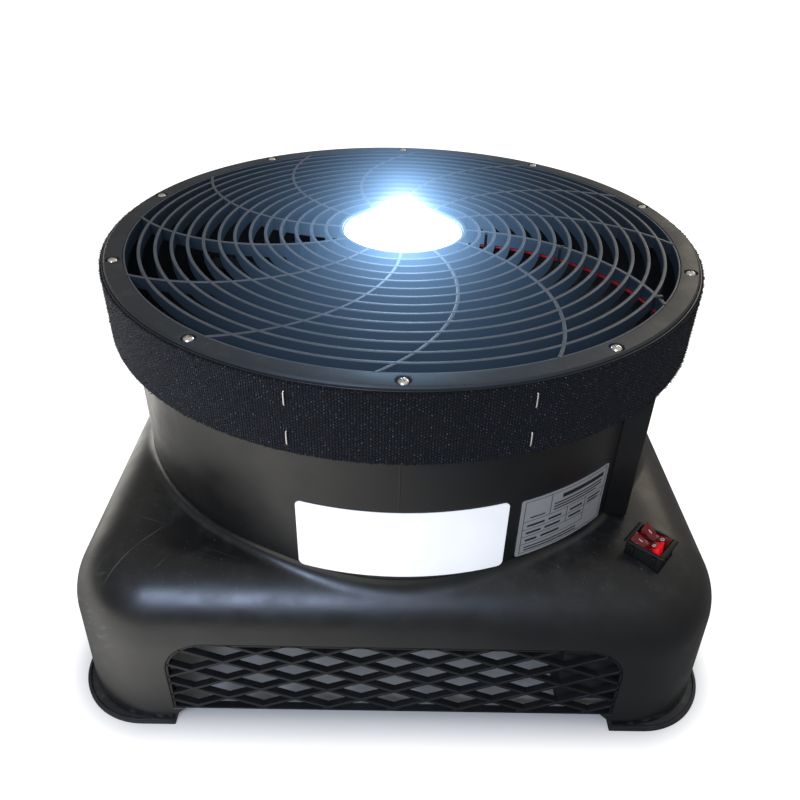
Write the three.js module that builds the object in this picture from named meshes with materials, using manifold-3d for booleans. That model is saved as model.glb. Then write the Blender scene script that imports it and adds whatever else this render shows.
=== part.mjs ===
// Air mover for inflatable tubes: an axial fan in a square base that blows straight up
// through a round outlet, with a lamp in the middle of the outlet grille.
// Millimetres, +Z up, origin on the floor under the middle, front face towards -Y.
import * as THREE from 'three';
import { mergeVertices } from 'three/addons/utils/BufferGeometryUtils.js';
import Module from 'manifold-3d';

const wasm = await Module();
wasm.setup();

// ---------------------------------------------------------------- driving dimensions
const GAP = 0.3;                // clearance kept between touching pieces
const ROUND = 48;               // facets in a full turn of the large round pieces
const MIDDLING = 20;            // and of the motor and lamp pieces

const BASE_HALF = 241;          // half the width of the square base at its walls
const BASE_TOP = 133.5;         // height of the base's flat top
const BASE_EDGE = 53;           // radius of the base's rounded top edge
const BASE_CORNER = 70;         // plan radius of the base's vertical corners
const BASE_WALL = 3;
const LIP_HEIGHT = 15;          // clear height under the base between its feet

const WINDOW_HALF = 163.6;      // half the width of the air intake in each wall
const WINDOW_TOP = 89;
const WINDOW_CORNER = 30;
const DIAMOND_WIDTH = 48.6;     // pitch of the intake lattice
const DIAMOND_HEIGHT = 20.6;
const KNOT_HEIGHT = 18;         // of a crossing on the front's middle line
const STRAND_WIDTH = 2.3;
const STRAND_DEPTH = 4;
const LATTICE_FACE = BASE_HALF - 0.6;

const FOOT_HALF = 244.5;        // half width over the foot plates
const FOOT_CORNER = 55;
const FOOT_THICK = 3;

const COLLAR_OUT = 216.6;       // outside radius of the outlet collar
const COLLAR_IN = 212.6;
const SOCKET_WALL = 3;          // sleeve in the base that the collar drops into
const LEDGE_TOP = 111.7;        // ledge at the bottom of that sleeve
const LEDGE_THICK = 3;
const LEDGE_IN = 196;
const RIM_OUT = 229.4;          // outside radius of the collar's turned-over rim
const RIM_BOTTOM = 243.5;
const RIM_TOP = 296;

const TOP = 298;                // height of the clamp ring's top face
const CLAMP_OUT = 227.8;
const CLAMP_IN = 214;
const CLAMP_BOTTOM = 291.3;
const SEAT_OUT = 216.9;         // step in the collar that the grille's rim sits in
const SEAT_LOW = 286;
const SCREW_CIRCLE = 221;
const SCREW_COUNT = 10;

const GRILLE_TOP = 298.7;
const GRILLE_DEPTH = 9.5;
const HUB_RING = 49.3;          // centre line radius of the innermost grille ring
const RING_PITCH = 11.8;
const RING_COUNT = 14;
const BAR_WIDTH = 2.6;
const SPOKE_COUNT = 12;
const SPOKE_BOW = 137.5;        // each spoke is an arc of this radius
const SPOKE_CENTRE = 144.3;     // distance of the arc's centre from the axis
const FIRST_SPOKE = -4.4;       // degrees from the front, at the clamp ring

const BAND_IN = RIM_OUT + GAP;
const BAND_OUT = 231.3;
const BAND_BOTTOM = 244.6;
const BAND_TOP = 295.3;
const STAPLE_LENGTH = 10.8;

const LABEL_IN = COLLAR_OUT + 0.5;
const LABEL_THICK = 0.4;

const SWITCH_X = 181.1;
const SWITCH_Y = -187.7;
const SWITCH_TURN = -40.9;      // degrees from +X to the rockers' long direction
const BEZEL_LENGTH = 29;
const BEZEL_WIDTH = 25;
const BEZEL_TOP = 145.5;
const BEZEL_THICK = 2;
const ROCKER_TILT = 9;          // degrees each way from level
const ROCKER_PIVOT = 141.5;

const MOTOR_OUT = 62;
const MOTOR_FLOOR = LEDGE_TOP + GAP + 4;    // top of the motor bracket's plate
const MOTOR_TALL = 54;                      // from there to the upper cap
const BEARING_OUT = 14;
const BEARING_TALL = 6.5;
const SHAFT_RADIUS = 6;
const SHAFT_TOP = 238;
const BOLT_CIRCLE = 204;
const BRACKET_TALL = 8;

const FAN_TIP = 203;
const FAN_LOW = 190;            // bottom and shoulder of the fan's hub
const FAN_SHOULDER = 222;
const FAN_HIGH = 228;
const HUB_OUT = 48;
const HUB_WALL = 3;
const BLADE_COUNT = 5;
const BLADE_MIDDLE = 212;
const BLADE_CHORD = 104;        // at the tip; the root has ROOT_SHARE of it
const ROOT_SHARE = 0.52;
const ROOT_PITCH = 46;          // degrees from level
const TIP_PITCH = 24;

const LENS_RADIUS = 46.6;
const LENS_TOP = 300.5;
const WIRE_RADIUS = 1;
const WIRE_SPOKE = 2;           // the lamp's wires are tied under this spoke
const WIRE_LEVEL = GRILLE_TOP - GRILLE_DEPTH - GAP - WIRE_RADIUS;
const CONDUIT_X = 174;          // outer faces of the square wire cover on the collar
const CONDUIT_Y = -151;
const CONDUIT_WALL = 2.5;

// ---------------------------------------------------------------- finishes
function finish(colour, roughness, metalness = 0) {
  return new THREE.MeshStandardMaterial({ color: colour, roughness, metalness });
}
const blackPlastic = () => finish(0x17181a, 0.42);
const darkPlastic = () => finish(0x2a2b2c, 0.5);
const fabric = () => finish(0x12141c, 0.95);
const zinc = () => finish(0xcfcfc8, 0.3, 0.9);
const steel = () => finish(0x9a9c9e, 0.35, 0.9);
const aluminium = () => finish(0xa9abad, 0.4, 0.8);

// ---------------------------------------------------------------- geometry helpers
const degrees = (angle) => (angle * Math.PI) / 180;

// A point at a radius and at an angle from the front, turning towards +X.
function around(radius, angle, z = 0) {
  const turn = degrees(angle);
  return new THREE.Vector3(radius * Math.sin(turn), -radius * Math.cos(turn), z);
}

function solid(geometry) {
  const plain = geometry.index ? geometry.toNonIndexed() : geometry.clone();
  plain.deleteAttribute('normal');
  plain.deleteAttribute('uv');
  const welded = mergeVertices(plain, 1e-4);
  const corners = [];
  const index = welded.index.array;
  for (let i = 0; i < index.length; i += 3) {
    const [a, b, c] = [index[i], index[i + 1], index[i + 2]];
    if (a !== b && b !== c && c !== a) corners.push(a, b, c);
  }
  const places = welded.attributes.position.array;
  let volume = 0;
  const vertex = (i) => new THREE.Vector3().fromArray(places, 3 * i);
  for (let i = 0; i < corners.length; i += 3) {
    const [a, b, c] = [vertex(corners[i]), vertex(corners[i + 1]), vertex(corners[i + 2])];
    volume += a.dot(b.cross(c));
  }
  if (volume < 0) corners.reverse();
  return new wasm.Manifold(new wasm.Mesh({
    numProp: 3,
    vertProperties: new Float32Array(places),
    triVerts: new Uint32Array(corners),
  }));
}

function geometryOf(body) {
  const mesh = body.getMesh();
  const geometry = new THREE.BufferGeometry();
  geometry.setAttribute('position', new THREE.BufferAttribute(mesh.vertProperties, 3));
  geometry.setIndex(new THREE.BufferAttribute(mesh.triVerts, 1));
  geometry.computeVertexNormals();
  return geometry;
}

const join = (...bodies) => bodies.reduce((sum, body) => sum.add(body));

// Turned piece: profile points are [radius, height].
function turned(profile, facets = ROUND) {
  const points = profile.map(([radius, z]) => new THREE.Vector2(radius, z));
  return solid(new THREE.LatheGeometry(points, facets).rotateX(Math.PI / 2));
}

function ring(inner, outer, low, high, facets = ROUND) {
  const corners = [[inner, low], [outer, low], [outer, high], [inner, high], [inner, low]];
  return turned(corners, facets);
}

function disc(radius, low, high, facets = ROUND) {
  return turned([[0, low], [radius, low], [radius, high], [0, high]], facets);
}

function block(x0, x1, y0, y1, z0, z1) {
  const geometry = new THREE.BoxGeometry(x1 - x0, y1 - y0, z1 - z0);
  geometry.translate((x0 + x1) / 2, (y0 + y1) / 2, (z0 + z1) / 2);
  return solid(geometry);
}

function prismGeometry(shape, low, high, curveSegments = 6) {
  const settings = { depth: high - low, bevelEnabled: false, curveSegments };
  return new THREE.ExtrudeGeometry(shape, settings).translate(0, 0, low);
}

const prism = (shape, low, high, curves) => solid(prismGeometry(shape, low, high, curves));

// Prism whose outline stands in the front wall's plane (x across, z up), running from
// near to far along -Y.
function frontPrism(shape, near, far, curveSegments = 6) {
  return solid(prismGeometry(shape, near, far, curveSegments).rotateX(Math.PI / 2));
}

function outline(points) {
  return new THREE.Shape(points.map(([x, y]) => new THREE.Vector2(x, y)));
}

function roundedSquare(half, radius) {
  const shape = new THREE.Shape();
  const straight = half - radius;
  shape.absarc(straight, straight, radius, 0, Math.PI / 2);
  shape.absarc(-straight, straight, radius, Math.PI / 2, Math.PI);
  shape.absarc(-straight, -straight, radius, Math.PI, 1.5 * Math.PI);
  shape.absarc(straight, -straight, radius, 1.5 * Math.PI, 2 * Math.PI);
  return shape;
}

// Cylinder along any direction, from one point to another.
function rod(from, to, radius, facets = 8) {
  const along = new THREE.Vector3().subVectors(to, from);
  const geometry = new THREE.CylinderGeometry(radius, radius, along.length(), facets);
  const up = new THREE.Vector3(0, 1, 0);
  const turn = new THREE.Quaternion().setFromUnitVectors(up, along.clone().normalize());
  const middle = new THREE.Vector3().addVectors(from, to).multiplyScalar(0.5);
  return solid(geometry.applyQuaternion(turn).translate(middle.x, middle.y, middle.z));
}

// ---------------------------------------------------------------- scene helpers
const airMover = new THREE.Group();

function add(name, shape, material, place = () => {}) {
  const mesh = new THREE.Mesh(shape.isBufferGeometry ? shape : geometryOf(shape), material);
  mesh.name = name;
  place(mesh);
  airMover.add(mesh);
  return mesh;
}

// ---------------------------------------------------------------- base
function baseBody(edge, top) {
  const depth = 200;
  const settings = { depth, bevelThickness: edge, bevelSize: edge, bevelSegments: 4,
    curveSegments: 4 };
  const core = roundedSquare(BASE_HALF - BASE_EDGE, BASE_CORNER - BASE_EDGE);
  const geometry = new THREE.ExtrudeGeometry(core, settings);
  return solid(geometry.translate(0, 0, top - depth - edge));
}

function windowShape(inset) {
  const half = WINDOW_HALF - inset;
  const radius = WINDOW_CORNER - inset;
  const top = WINDOW_TOP - inset;
  const shape = new THREE.Shape();
  shape.moveTo(-half, LIP_HEIGHT + inset);
  shape.lineTo(half, LIP_HEIGHT + inset);
  shape.absarc(half - radius, top - radius, radius, 0, Math.PI / 2);
  shape.absarc(radius - half, top - radius, radius, Math.PI / 2, Math.PI);
  shape.closePath();
  return shape;
}

function footNotch() {
  const chamfer = 8;
  return outline([
    [-WINDOW_HALF, -1], [WINDOW_HALF, -1], [WINDOW_HALF, LIP_HEIGHT - chamfer],
    [WINDOW_HALF - chamfer, LIP_HEIGHT + 0.01], [chamfer - WINDOW_HALF, LIP_HEIGHT + 0.01],
    [-WINDOW_HALF, LIP_HEIGHT - chamfer],
  ]);
}

const quarterTurns = [0, 1, 2, 3].map((count) => count * 90);

function switchPlaced(body) {
  return body.rotate([0, 0, SWITCH_TURN]).translate([SWITCH_X, SWITCH_Y, 0]);
}

const BUSH_Z = 50;
const bushPoint = (reach) => {
  const corner = BASE_HALF - BASE_CORNER;
  const step = reach * Math.SQRT1_2;
  return new THREE.Vector3(corner + step, corner + step, BUSH_Z);
};

const WIRE_DROP_RADIUS = 222.5;
const WIRE_DROP_ANGLE = 49.1;
const WIRE_HOLE_Z = 236;

function baseHousing() {
  const outer = baseBody(BASE_EDGE, BASE_TOP);
  const inner = baseBody(BASE_EDGE - BASE_WALL, BASE_TOP - BASE_WALL);
  const socketOut = COLLAR_OUT + GAP + SOCKET_WALL;
  const ledgeBottom = LEDGE_TOP - LEDGE_THICK;
  const socket = ring(LEDGE_IN, socketOut, ledgeBottom, BASE_TOP).intersect(outer);
  let body = outer.subtract(inner).add(socket);
  body = body.subtract(disc(COLLAR_OUT + GAP, LEDGE_TOP, BASE_TOP + 1));
  body = body.subtract(block(-300, 300, -300, 300, -200, FOOT_THICK + GAP));
  for (const turn of quarterTurns) {
    const opening = frontPrism(windowShape(0), BASE_HALF - 25, BASE_HALF + 5);
    const notch = frontPrism(footNotch(), BASE_HALF - 25, BASE_HALF + 5);
    body = body.subtract(opening.add(notch).rotate([0, 0, turn]));
  }
  const cutLength = BEZEL_LENGTH / 2 - 0.7;
  const cutWidth = BEZEL_WIDTH / 2 - 0.7;
  body = body.subtract(switchPlaced(block(-cutLength, cutLength, -cutWidth, cutWidth,
    BASE_TOP - 20, BASE_TOP + 5)));
  body = body.subtract(rod(bushPoint(BASE_CORNER - 8), bushPoint(BASE_CORNER + 8), 7.5, 16));
  const wire = around(WIRE_DROP_RADIUS, WIRE_DROP_ANGLE);
  body = body.subtract(disc(3.2, BASE_TOP - 8, BASE_TOP + 2, 8).translate([wire.x, wire.y, 0]));
  for (const turn of quarterTurns) {
    const hole = around(BOLT_CIRCLE, turn + 45);
    body = body.subtract(disc(2.8, 100, LEDGE_TOP + 1, 8).translate([hole.x, hole.y, 0]));
  }
  return body;
}

// Intake lattice: crossing strands inside a thin rim that snaps into the window.
function intakePanel() {
  const slope = Math.atan2(DIAMOND_HEIGHT, DIAMOND_WIDTH);
  const back = LATTICE_FACE - STRAND_DEPTH;
  const span = 2 * WINDOW_HALF + 200;
  const strands = [];
  for (const lean of [-1, 1]) {
    for (let column = -5; column <= 5; column += 1) {
      const strand = new THREE.BoxGeometry(span, STRAND_WIDTH, STRAND_DEPTH);
      strand.rotateZ(lean * slope).rotateX(Math.PI / 2);
      strand.translate(column * DIAMOND_WIDTH, -(back + STRAND_DEPTH / 2), KNOT_HEIGHT);
      strands.push(solid(strand));
    }
  }
  const opening = frontPrism(windowShape(GAP + 1.6), back - 1, LATTICE_FACE + 1, 4);
  const rim = frontPrism(windowShape(GAP), back, LATTICE_FACE, 4).subtract(opening);
  const lattice = join(...strands).intersect(frontPrism(windowShape(GAP + 1), back,
    LATTICE_FACE, 4));
  return lattice.add(rim);
}

function footPlate() {
  const shape = new THREE.Shape();
  const outerTurn = FOOT_HALF - FOOT_CORNER;
  const innerHalf = BASE_HALF - 15;
  const innerRadius = 46;
  const innerTurn = innerHalf - innerRadius;
  shape.moveTo(WINDOW_HALF, innerHalf);
  shape.absarc(innerTurn, innerTurn, innerRadius, Math.PI / 2, 0, true);
  shape.lineTo(innerHalf, WINDOW_HALF);
  shape.lineTo(FOOT_HALF, WINDOW_HALF);
  shape.absarc(outerTurn, outerTurn, FOOT_CORNER, 0, Math.PI / 2);
  shape.lineTo(WINDOW_HALF, FOOT_HALF);
  shape.closePath();
  return prism(shape, 0, FOOT_THICK, 5);
}

// Snap-in bush for the mains lead, in the rear right corner.
function cableBush() {
  const profile = [[4.5, BASE_CORNER - 8], [9, BASE_CORNER - 8], [9, BASE_CORNER - 4.6],
    [7.2, BASE_CORNER - 4.6], [7.2, BASE_CORNER + 0.6], [10.5, BASE_CORNER + 0.6],
    [10.5, BASE_CORNER + 2], [8.5, BASE_CORNER + 3.4], [4.5, BASE_CORNER + 3.4],
    [4.5, BASE_CORNER - 8]];
  const corner = BASE_HALF - BASE_CORNER;
  return turned(profile, 12).rotate([0, 90, 0]).rotate([0, 0, 45])
    .translate([corner, corner, BUSH_Z]);
}

// ---------------------------------------------------------------- outlet
const screwAngles = Array.from({ length: SCREW_COUNT }, (_, i) => (i * 360) / SCREW_COUNT);

function holesAt(radius, low, high, facets) {
  const holes = screwAngles.map((angle) => {
    const place = around(SCREW_CIRCLE, angle);
    return disc(radius, low, high, facets).translate([place.x, place.y, 0]);
  });
  return join(...holes);
}

function outletCollar() {
  const skirt = 3.2;
  const ledge = CLAMP_BOTTOM - GAP;
  const profile = [
    [COLLAR_IN, LEDGE_TOP + GAP], [COLLAR_OUT, LEDGE_TOP + GAP], [COLLAR_OUT, 280],
    [RIM_OUT - skirt, 280], [RIM_OUT - skirt, RIM_BOTTOM], [RIM_OUT, RIM_BOTTOM],
    [RIM_OUT, RIM_TOP], [CLAMP_OUT + GAP, RIM_TOP], [CLAMP_OUT + GAP, ledge],
    [SEAT_OUT, ledge], [SEAT_OUT, SEAT_LOW], [COLLAR_IN, SEAT_LOW], [COLLAR_IN, LEDGE_TOP + GAP],
  ];
  const wireHole = rod(around(205, WIRE_DROP_ANGLE, WIRE_HOLE_Z),
    around(222, WIRE_DROP_ANGLE, WIRE_HOLE_Z), 5, 10);
  return turned(profile).subtract(holesAt(2.5, 283, ledge + 1, 6)).subtract(wireHole);
}

function clampRing() {
  const profile = [[CLAMP_IN, CLAMP_BOTTOM], [CLAMP_OUT, CLAMP_BOTTOM],
    [CLAMP_OUT, TOP - 1.3], [CLAMP_OUT - 1.3, TOP], [CLAMP_IN, TOP], [CLAMP_IN, CLAMP_BOTTOM]];
  return turned(profile).subtract(holesAt(4.9, TOP - 2.4, TOP + 1, 6))
    .subtract(holesAt(2.5, CLAMP_BOTTOM - 1, TOP, 6));
}

function ringScrew() {
  return turned([[0, 283.6], [2, 283.6], [2, TOP - 2.1], [3.9, TOP - 2.1], [3.9, TOP - 1.1],
    [2.6, TOP - 0.2], [0, TOP - 0.2]], 6);
}

// Angle that a spoke has turned through, in degrees, where it crosses a radius.
function spokeTurn(radius, bow = SPOKE_BOW) {
  const lean = (size, arc) => Math.acos((size ** 2 + SPOKE_CENTRE ** 2 - arc ** 2)
    / (2 * size * SPOKE_CENTRE));
  return ((lean(radius, bow) - lean(CLAMP_IN, SPOKE_BOW)) * 180) / Math.PI;
}

const spokeAngle = (spoke) => FIRST_SPOKE + (spoke * 360) / SPOKE_COUNT;

function outletGrille() {
  const half = BAR_WIDTH / 2;
  const rimIn = 212.4;
  const rimOut = CLAMP_IN - GAP;
  const plate = new THREE.Shape();
  plate.absarc(0, 0, rimOut, 0, 2 * Math.PI);
  const bore = new THREE.Path();
  bore.absarc(0, 0, HUB_RING - half, 0, 2 * Math.PI, true);
  plate.holes.push(bore);
  for (let level = 0; level < RING_COUNT; level += 1) {
    const arcSteps = level < 5 ? 1 : 2;
    const low = HUB_RING + level * RING_PITCH + half;
    const high = level === RING_COUNT - 1 ? rimIn : low + RING_PITCH - BAR_WIDTH;
    for (let spoke = 0; spoke < SPOKE_COUNT; spoke += 1) {
      const corners = [];
      for (const [radius, reverse] of [[low, false], [high, true]]) {
        const from = spokeAngle(spoke) + spokeTurn(radius, SPOKE_BOW + half);
        const to = spokeAngle(spoke + 1) + spokeTurn(radius, SPOKE_BOW - half);
        for (let step = 0; step <= arcSteps; step += 1) {
          const share = (reverse ? arcSteps - step : step) / arcSteps;
          const point = around(radius, from + (to - from) * share);
          corners.push([point.x, point.y]);
        }
      }
      plate.holes.push(outline(corners));
    }
  }
  const bars = prism(plate, GRILLE_TOP - GRILLE_DEPTH, GRILLE_TOP, ROUND / 2);
  return bars.add(ring(rimIn, SEAT_OUT - GAP, SEAT_LOW + GAP, CLAMP_BOTTOM - GAP * 2));
}

function staple() {
  const shape = outline([[-0.7, 0], [0.7, 0], [0.7, 0.7], [-0.7, 0.7]]);
  return prismGeometry(shape, -STAPLE_LENGTH / 2, STAPLE_LENGTH / 2);
}

// Thin label wrapped on the collar between two angles.
function label(from, to, low, high) {
  const steps = 8;
  const edge = (radius, start, end) => Array.from({ length: steps + 1 }, (_, i) => {
    const point = around(radius, start + ((end - start) * i) / steps);
    return [point.x, point.y];
  });
  const outside = edge(LABEL_IN + LABEL_THICK, from, to);
  return prism(outline([...outside, ...edge(LABEL_IN, to, from)]), low, high);
}

function conduitCover() {
  const low = BASE_TOP + GAP;
  const high = RIM_BOTTOM - GAP;
  const outside = block(130, CONDUIT_X, CONDUIT_Y, -105, low, high);
  const inside = block(120, CONDUIT_X - CONDUIT_WALL, CONDUIT_Y + CONDUIT_WALL, -95,
    low - 1, high - CONDUIT_WALL);
  return outside.subtract(inside).subtract(disc(COLLAR_OUT + GAP, low - 2, high + 2));
}

// ---------------------------------------------------------------- lamp
function lampHousing() {
  const flangeTop = GRILLE_TOP - GRILLE_DEPTH - GAP;
  const wall = HUB_RING - BAR_WIDTH / 2 - GAP;
  return turned([[0, 264], [36, 264], [wall, 274], [wall, flangeTop - 3.5],
    [53, flangeTop - 3.5], [53, flangeTop], [wall, flangeTop], [wall, 297], [45, 297],
    [45, 290], [0, 290]], MIDDLING);
}

const lampBoard = () => disc(44.5, 290.3, 292.3, MIDDLING);

function lampLens() {
  return turned([[0, 297.3], [LENS_RADIUS, 297.3], [LENS_RADIUS, 298.8],
    [LENS_RADIUS * 0.6, LENS_TOP - 0.4], [0, LENS_TOP]], MIDDLING);
}

// Wire under a spoke, down the inside of the collar, out through it and down the cover.
function lampWire(side) {
  const beside = side * (WIRE_RADIUS + 0.2);
  const underSpoke = (radius, z = WIRE_LEVEL) => {
    const turn = spokeTurn(radius, SPOKE_BOW + beside);
    return around(radius, spokeAngle(WIRE_SPOKE) + turn, z);
  };
  const onWall = (radius, angle, z) => {
    const shift = ((1.2 * beside) / radius) * (180 / Math.PI);
    return around(radius, angle + shift, z);
  };
  const drop = (radius, z) => onWall(radius, WIRE_DROP_ANGLE, z);
  const route = [underSpoke(49.5, 280), underSpoke(52, 281), underSpoke(57, WIRE_LEVEL - 2)];
  route.push(underSpoke(61, WIRE_LEVEL - 0.3));
  for (let radius = 66; radius < 200; radius += 22) route.push(underSpoke(radius));
  route.push(underSpoke(205), underSpoke(208), underSpoke(209.2, WIRE_LEVEL));
  route.push(onWall(209.9, 56.9, WIRE_LEVEL - 1.6), onWall(209.7, 56.4, 280));
  route.push(onWall(209.7, 54, 268), onWall(209.7, 51, 250));
  route.push(drop(209.8, 242), drop(212, WIRE_HOLE_Z + 1), drop(216, WIRE_HOLE_Z));
  route.push(drop(220, WIRE_HOLE_Z - 1), drop(WIRE_DROP_RADIUS, WIRE_HOLE_Z - 6));
  route.push(drop(WIRE_DROP_RADIUS, 180), drop(WIRE_DROP_RADIUS, 130));
  route.push(drop(WIRE_DROP_RADIUS, 108), drop(WIRE_DROP_RADIUS + 2, 97));
  route.push(drop(WIRE_DROP_RADIUS + 4, 89.5));
  const section = new THREE.Shape();
  const sides = 6;
  for (let i = 0; i < sides; i += 1) {
    const turn = (i * 2 * Math.PI) / sides;
    const [x, y] = [WIRE_RADIUS * Math.cos(turn), WIRE_RADIUS * Math.sin(turn)];
    if (i) section.lineTo(x, y); else section.moveTo(x, y);
  }
  section.closePath();
  const path = new THREE.CatmullRomCurve3(route, false, 'centripetal');
  return solid(new THREE.ExtrudeGeometry(section, { steps: 50, extrudePath: path }));
}

// Closed tie round a grille spoke and the wires below it, with its lock underneath.
function cableTie(radius) {
  const inside = 2.6;
  const wall = 0.8;
  const low = WIRE_LEVEL - WIRE_RADIUS - 3 * GAP;
  const high = GRILLE_TOP + GAP;
  const loop = block(-1.1, 1.1, -inside - wall, inside + wall, low - wall, high + wall)
    .subtract(block(-2, 2, -inside, inside, low, high));
  const lock = block(-1.8, 1.8, -2.4, 2.4, low - 4, low - 0.4);
  const step = 0.5;
  const here = around(radius, spokeTurn(radius) + spokeAngle(WIRE_SPOKE));
  const next = around(radius + step, spokeTurn(radius + step) + spokeAngle(WIRE_SPOKE));
  const heading = (Math.atan2(next.y - here.y, next.x - here.x) * 180) / Math.PI;
  return loop.add(lock).rotate([0, 0, heading]).translate([here.x, here.y, 0]);
}

// ---------------------------------------------------------------- switch
const ROCKER_PITCH = 11.2;
const POCKET_LENGTH = 23;
const POCKET_WIDTH = 10.2;

function switchHousing() {
  const half = [BEZEL_LENGTH / 2, BEZEL_WIDTH / 2];
  const under = BEZEL_TOP - BEZEL_THICK;
  const bezel = block(-half[0], half[0], -half[1], half[1], under, BEZEL_TOP);
  const core = block(1 - half[0], half[0] - 1, 1 - half[1], half[1] - 1, 108, under);
  let body = bezel.add(core);
  for (const side of [-1, 1]) {
    const middle = (side * ROCKER_PITCH) / 2;
    body = body.subtract(block(-POCKET_LENGTH / 2, POCKET_LENGTH / 2,
      middle - POCKET_WIDTH / 2, middle + POCKET_WIDTH / 2, BEZEL_TOP - 8.7, BEZEL_TOP + 1));
    for (const post of [-8, 0, 8]) {
      body = body.add(block(post - 0.4, post + 0.4, middle - 2.4, middle + 2.4, 99, 108.5));
    }
  }
  return switchPlaced(body);
}

function rocker(side, tilt) {
  const profile = outline([[-10.5, 5.5], [-9.6, -3], [9.6, -3], [10.5, 5.5], [0, 3]]);
  const half = POCKET_WIDTH / 2 - 0.35;
  const body = solid(prismGeometry(profile, -half, half).rotateX(Math.PI / 2));
  return switchPlaced(body.rotate([0, tilt, 0])
    .translate([0, (side * ROCKER_PITCH) / 2, ROCKER_PIVOT]));
}

// ---------------------------------------------------------------- fan and motor
const LOWER_CAP_TALL = 10;

// Four arms from the ledge in the base to a plate that the motor stands in.
function motorBracket() {
  const low = LEDGE_TOP + GAP;
  const plate = MOTOR_OUT + 6;
  const high = low + BRACKET_TALL;
  const boltHole = 2.8;
  let body = disc(plate, low, MOTOR_FLOOR, MIDDLING);
  for (const turn of quarterTurns) {
    const arm = block(plate - 18, BOLT_CIRCLE + 7.3, -10, 10, low, high);
    body = body.add(arm.rotate([0, 0, turn - 45]));
    const hole = around(BOLT_CIRCLE, turn + 45);
    body = body.subtract(disc(boltHole, low - 1, high + 1, 8).translate([hole.x, hole.y, 0]));
  }
  body = body.subtract(disc(MOTOR_OUT + GAP, MOTOR_FLOOR, high + 1, MIDDLING));
  return body.subtract(disc(20, low - 1, high + 1, 12));
}

function bracketBolt() {
  const seat = LEDGE_TOP + 2 * GAP + BRACKET_TALL;
  const head = seat + 3.5;
  return turned([[0, 104], [2.5, 104], [2.5, seat], [5, seat], [5, head], [0, head]], 6);
}

function motorLowerCap() {
  const low = MOTOR_FLOOR + GAP;
  const high = low + LOWER_CAP_TALL;
  const seat = low + 2;
  return turned([[SHAFT_RADIUS + 1, low], [MOTOR_OUT, low], [MOTOR_OUT, high],
    [BEARING_OUT + GAP, high], [BEARING_OUT + GAP, seat], [SHAFT_RADIUS + 1, seat],
    [SHAFT_RADIUS + 1, low]], MIDDLING);
}

function motorUpperCap() {
  const low = MOTOR_FLOOR + MOTOR_TALL;
  const seat = low + 9;
  const high = low + 11;
  return turned([[BEARING_OUT + GAP, low], [MOTOR_OUT, low], [MOTOR_OUT - 4, seat],
    [BEARING_OUT + 6, high], [SHAFT_RADIUS + 1, high], [SHAFT_RADIUS + 1, seat],
    [BEARING_OUT + GAP, seat], [BEARING_OUT + GAP, low]], MIDDLING);
}

const CAN_IN = MOTOR_OUT - 3;

function motorCan() {
  const low = MOTOR_FLOOR + LOWER_CAP_TALL + 2 * GAP;
  return ring(CAN_IN, MOTOR_OUT, low, MOTOR_FLOOR + MOTOR_TALL - GAP, MIDDLING);
}

function motorStator() {
  return ring(34, CAN_IN - GAP, MOTOR_FLOOR + 16, MOTOR_FLOOR + 48, MIDDLING);
}

function motorRotor() {
  return ring(SHAFT_RADIUS + GAP, 33, MOTOR_FLOOR + 18, MOTOR_FLOOR + 46, 16);
}

const motorShaft = () => disc(SHAFT_RADIUS, MOTOR_FLOOR + 1.5, SHAFT_TOP, 12);

function bearing(low) {
  return ring(SHAFT_RADIUS + 0.1, BEARING_OUT, low, low + BEARING_TALL, 12);
}

// Twisted blade: a cambered section that grows longer and lies flatter towards the tip.
function fanBlade() {
  const root = HUB_OUT - 6;
  const reach = FAN_TIP + 8 - root;
  const half = BLADE_CHORD / 2;
  const section = outline([[-half, -3.6], [-25, 0.8], [0, 2.3], [25, 0.8], [half, -3.6],
    [half, -2], [25, 4.4], [0, 6.2], [-25, 4.4], [-half, -2]]);
  const settings = { depth: reach, steps: 3, bevelEnabled: false };
  const geometry = new THREE.ExtrudeGeometry(section, settings);
  const place = geometry.attributes.position;
  for (let i = 0; i < place.count; i += 1) {
    const share = place.getZ(i) / reach;
    const pitch = degrees(ROOT_PITCH + (TIP_PITCH - ROOT_PITCH) * share);
    const chord = place.getX(i) * (ROOT_SHARE + (1 - ROOT_SHARE) * share);
    const lift = place.getY(i);
    const across = chord * Math.cos(pitch) - lift * Math.sin(pitch);
    const height = chord * Math.sin(pitch) + lift * Math.cos(pitch);
    place.setXYZ(i, root + place.getZ(i), across, BLADE_MIDDLE + height);
  }
  return solid(geometry);
}

function fanRotor() {
  const bore = SHAFT_RADIUS + GAP;
  const skirtIn = HUB_OUT - HUB_WALL;
  const skirtLow = FAN_LOW + 2;
  const body = turned([[bore, FAN_LOW], [16, FAN_LOW], [16, FAN_SHOULDER],
    [skirtIn, FAN_SHOULDER], [skirtIn, skirtLow], [HUB_OUT, skirtLow], [HUB_OUT, FAN_SHOULDER],
    [HUB_OUT - 6, FAN_HIGH], [bore, FAN_HIGH], [bore, FAN_LOW]], MIDDLING);
  const blades = [];
  for (let i = 0; i < BLADE_COUNT; i += 1) {
    blades.push(fanBlade().rotate([0, 0, (i * 360) / BLADE_COUNT]));
  }
  const sweep = ring(HUB_OUT - HUB_WALL / 2, FAN_TIP, 180, 242, 40);
  return body.add(join(...blades).intersect(sweep));
}

const fanNut = () => ring(SHAFT_RADIUS + 1.4, 11, FAN_HIGH + GAP, SHAFT_TOP - 2, 6);

// ---------------------------------------------------------------- electrics in the base
function runCapacitor() {
  return turned([[0, 60], [19, 60], [20, 62], [20, 120], [0, 120]], 16)
    .translate([-183, 183, 0]);
}

// Open-topped box behind the front intake's right end, for the switch's and lamp's wiring.
const BOX_LOW = [122, -230, 20];
const BOX_HIGH = [190, -140, 97];
const BOX_WALL = 2.5;

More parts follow.
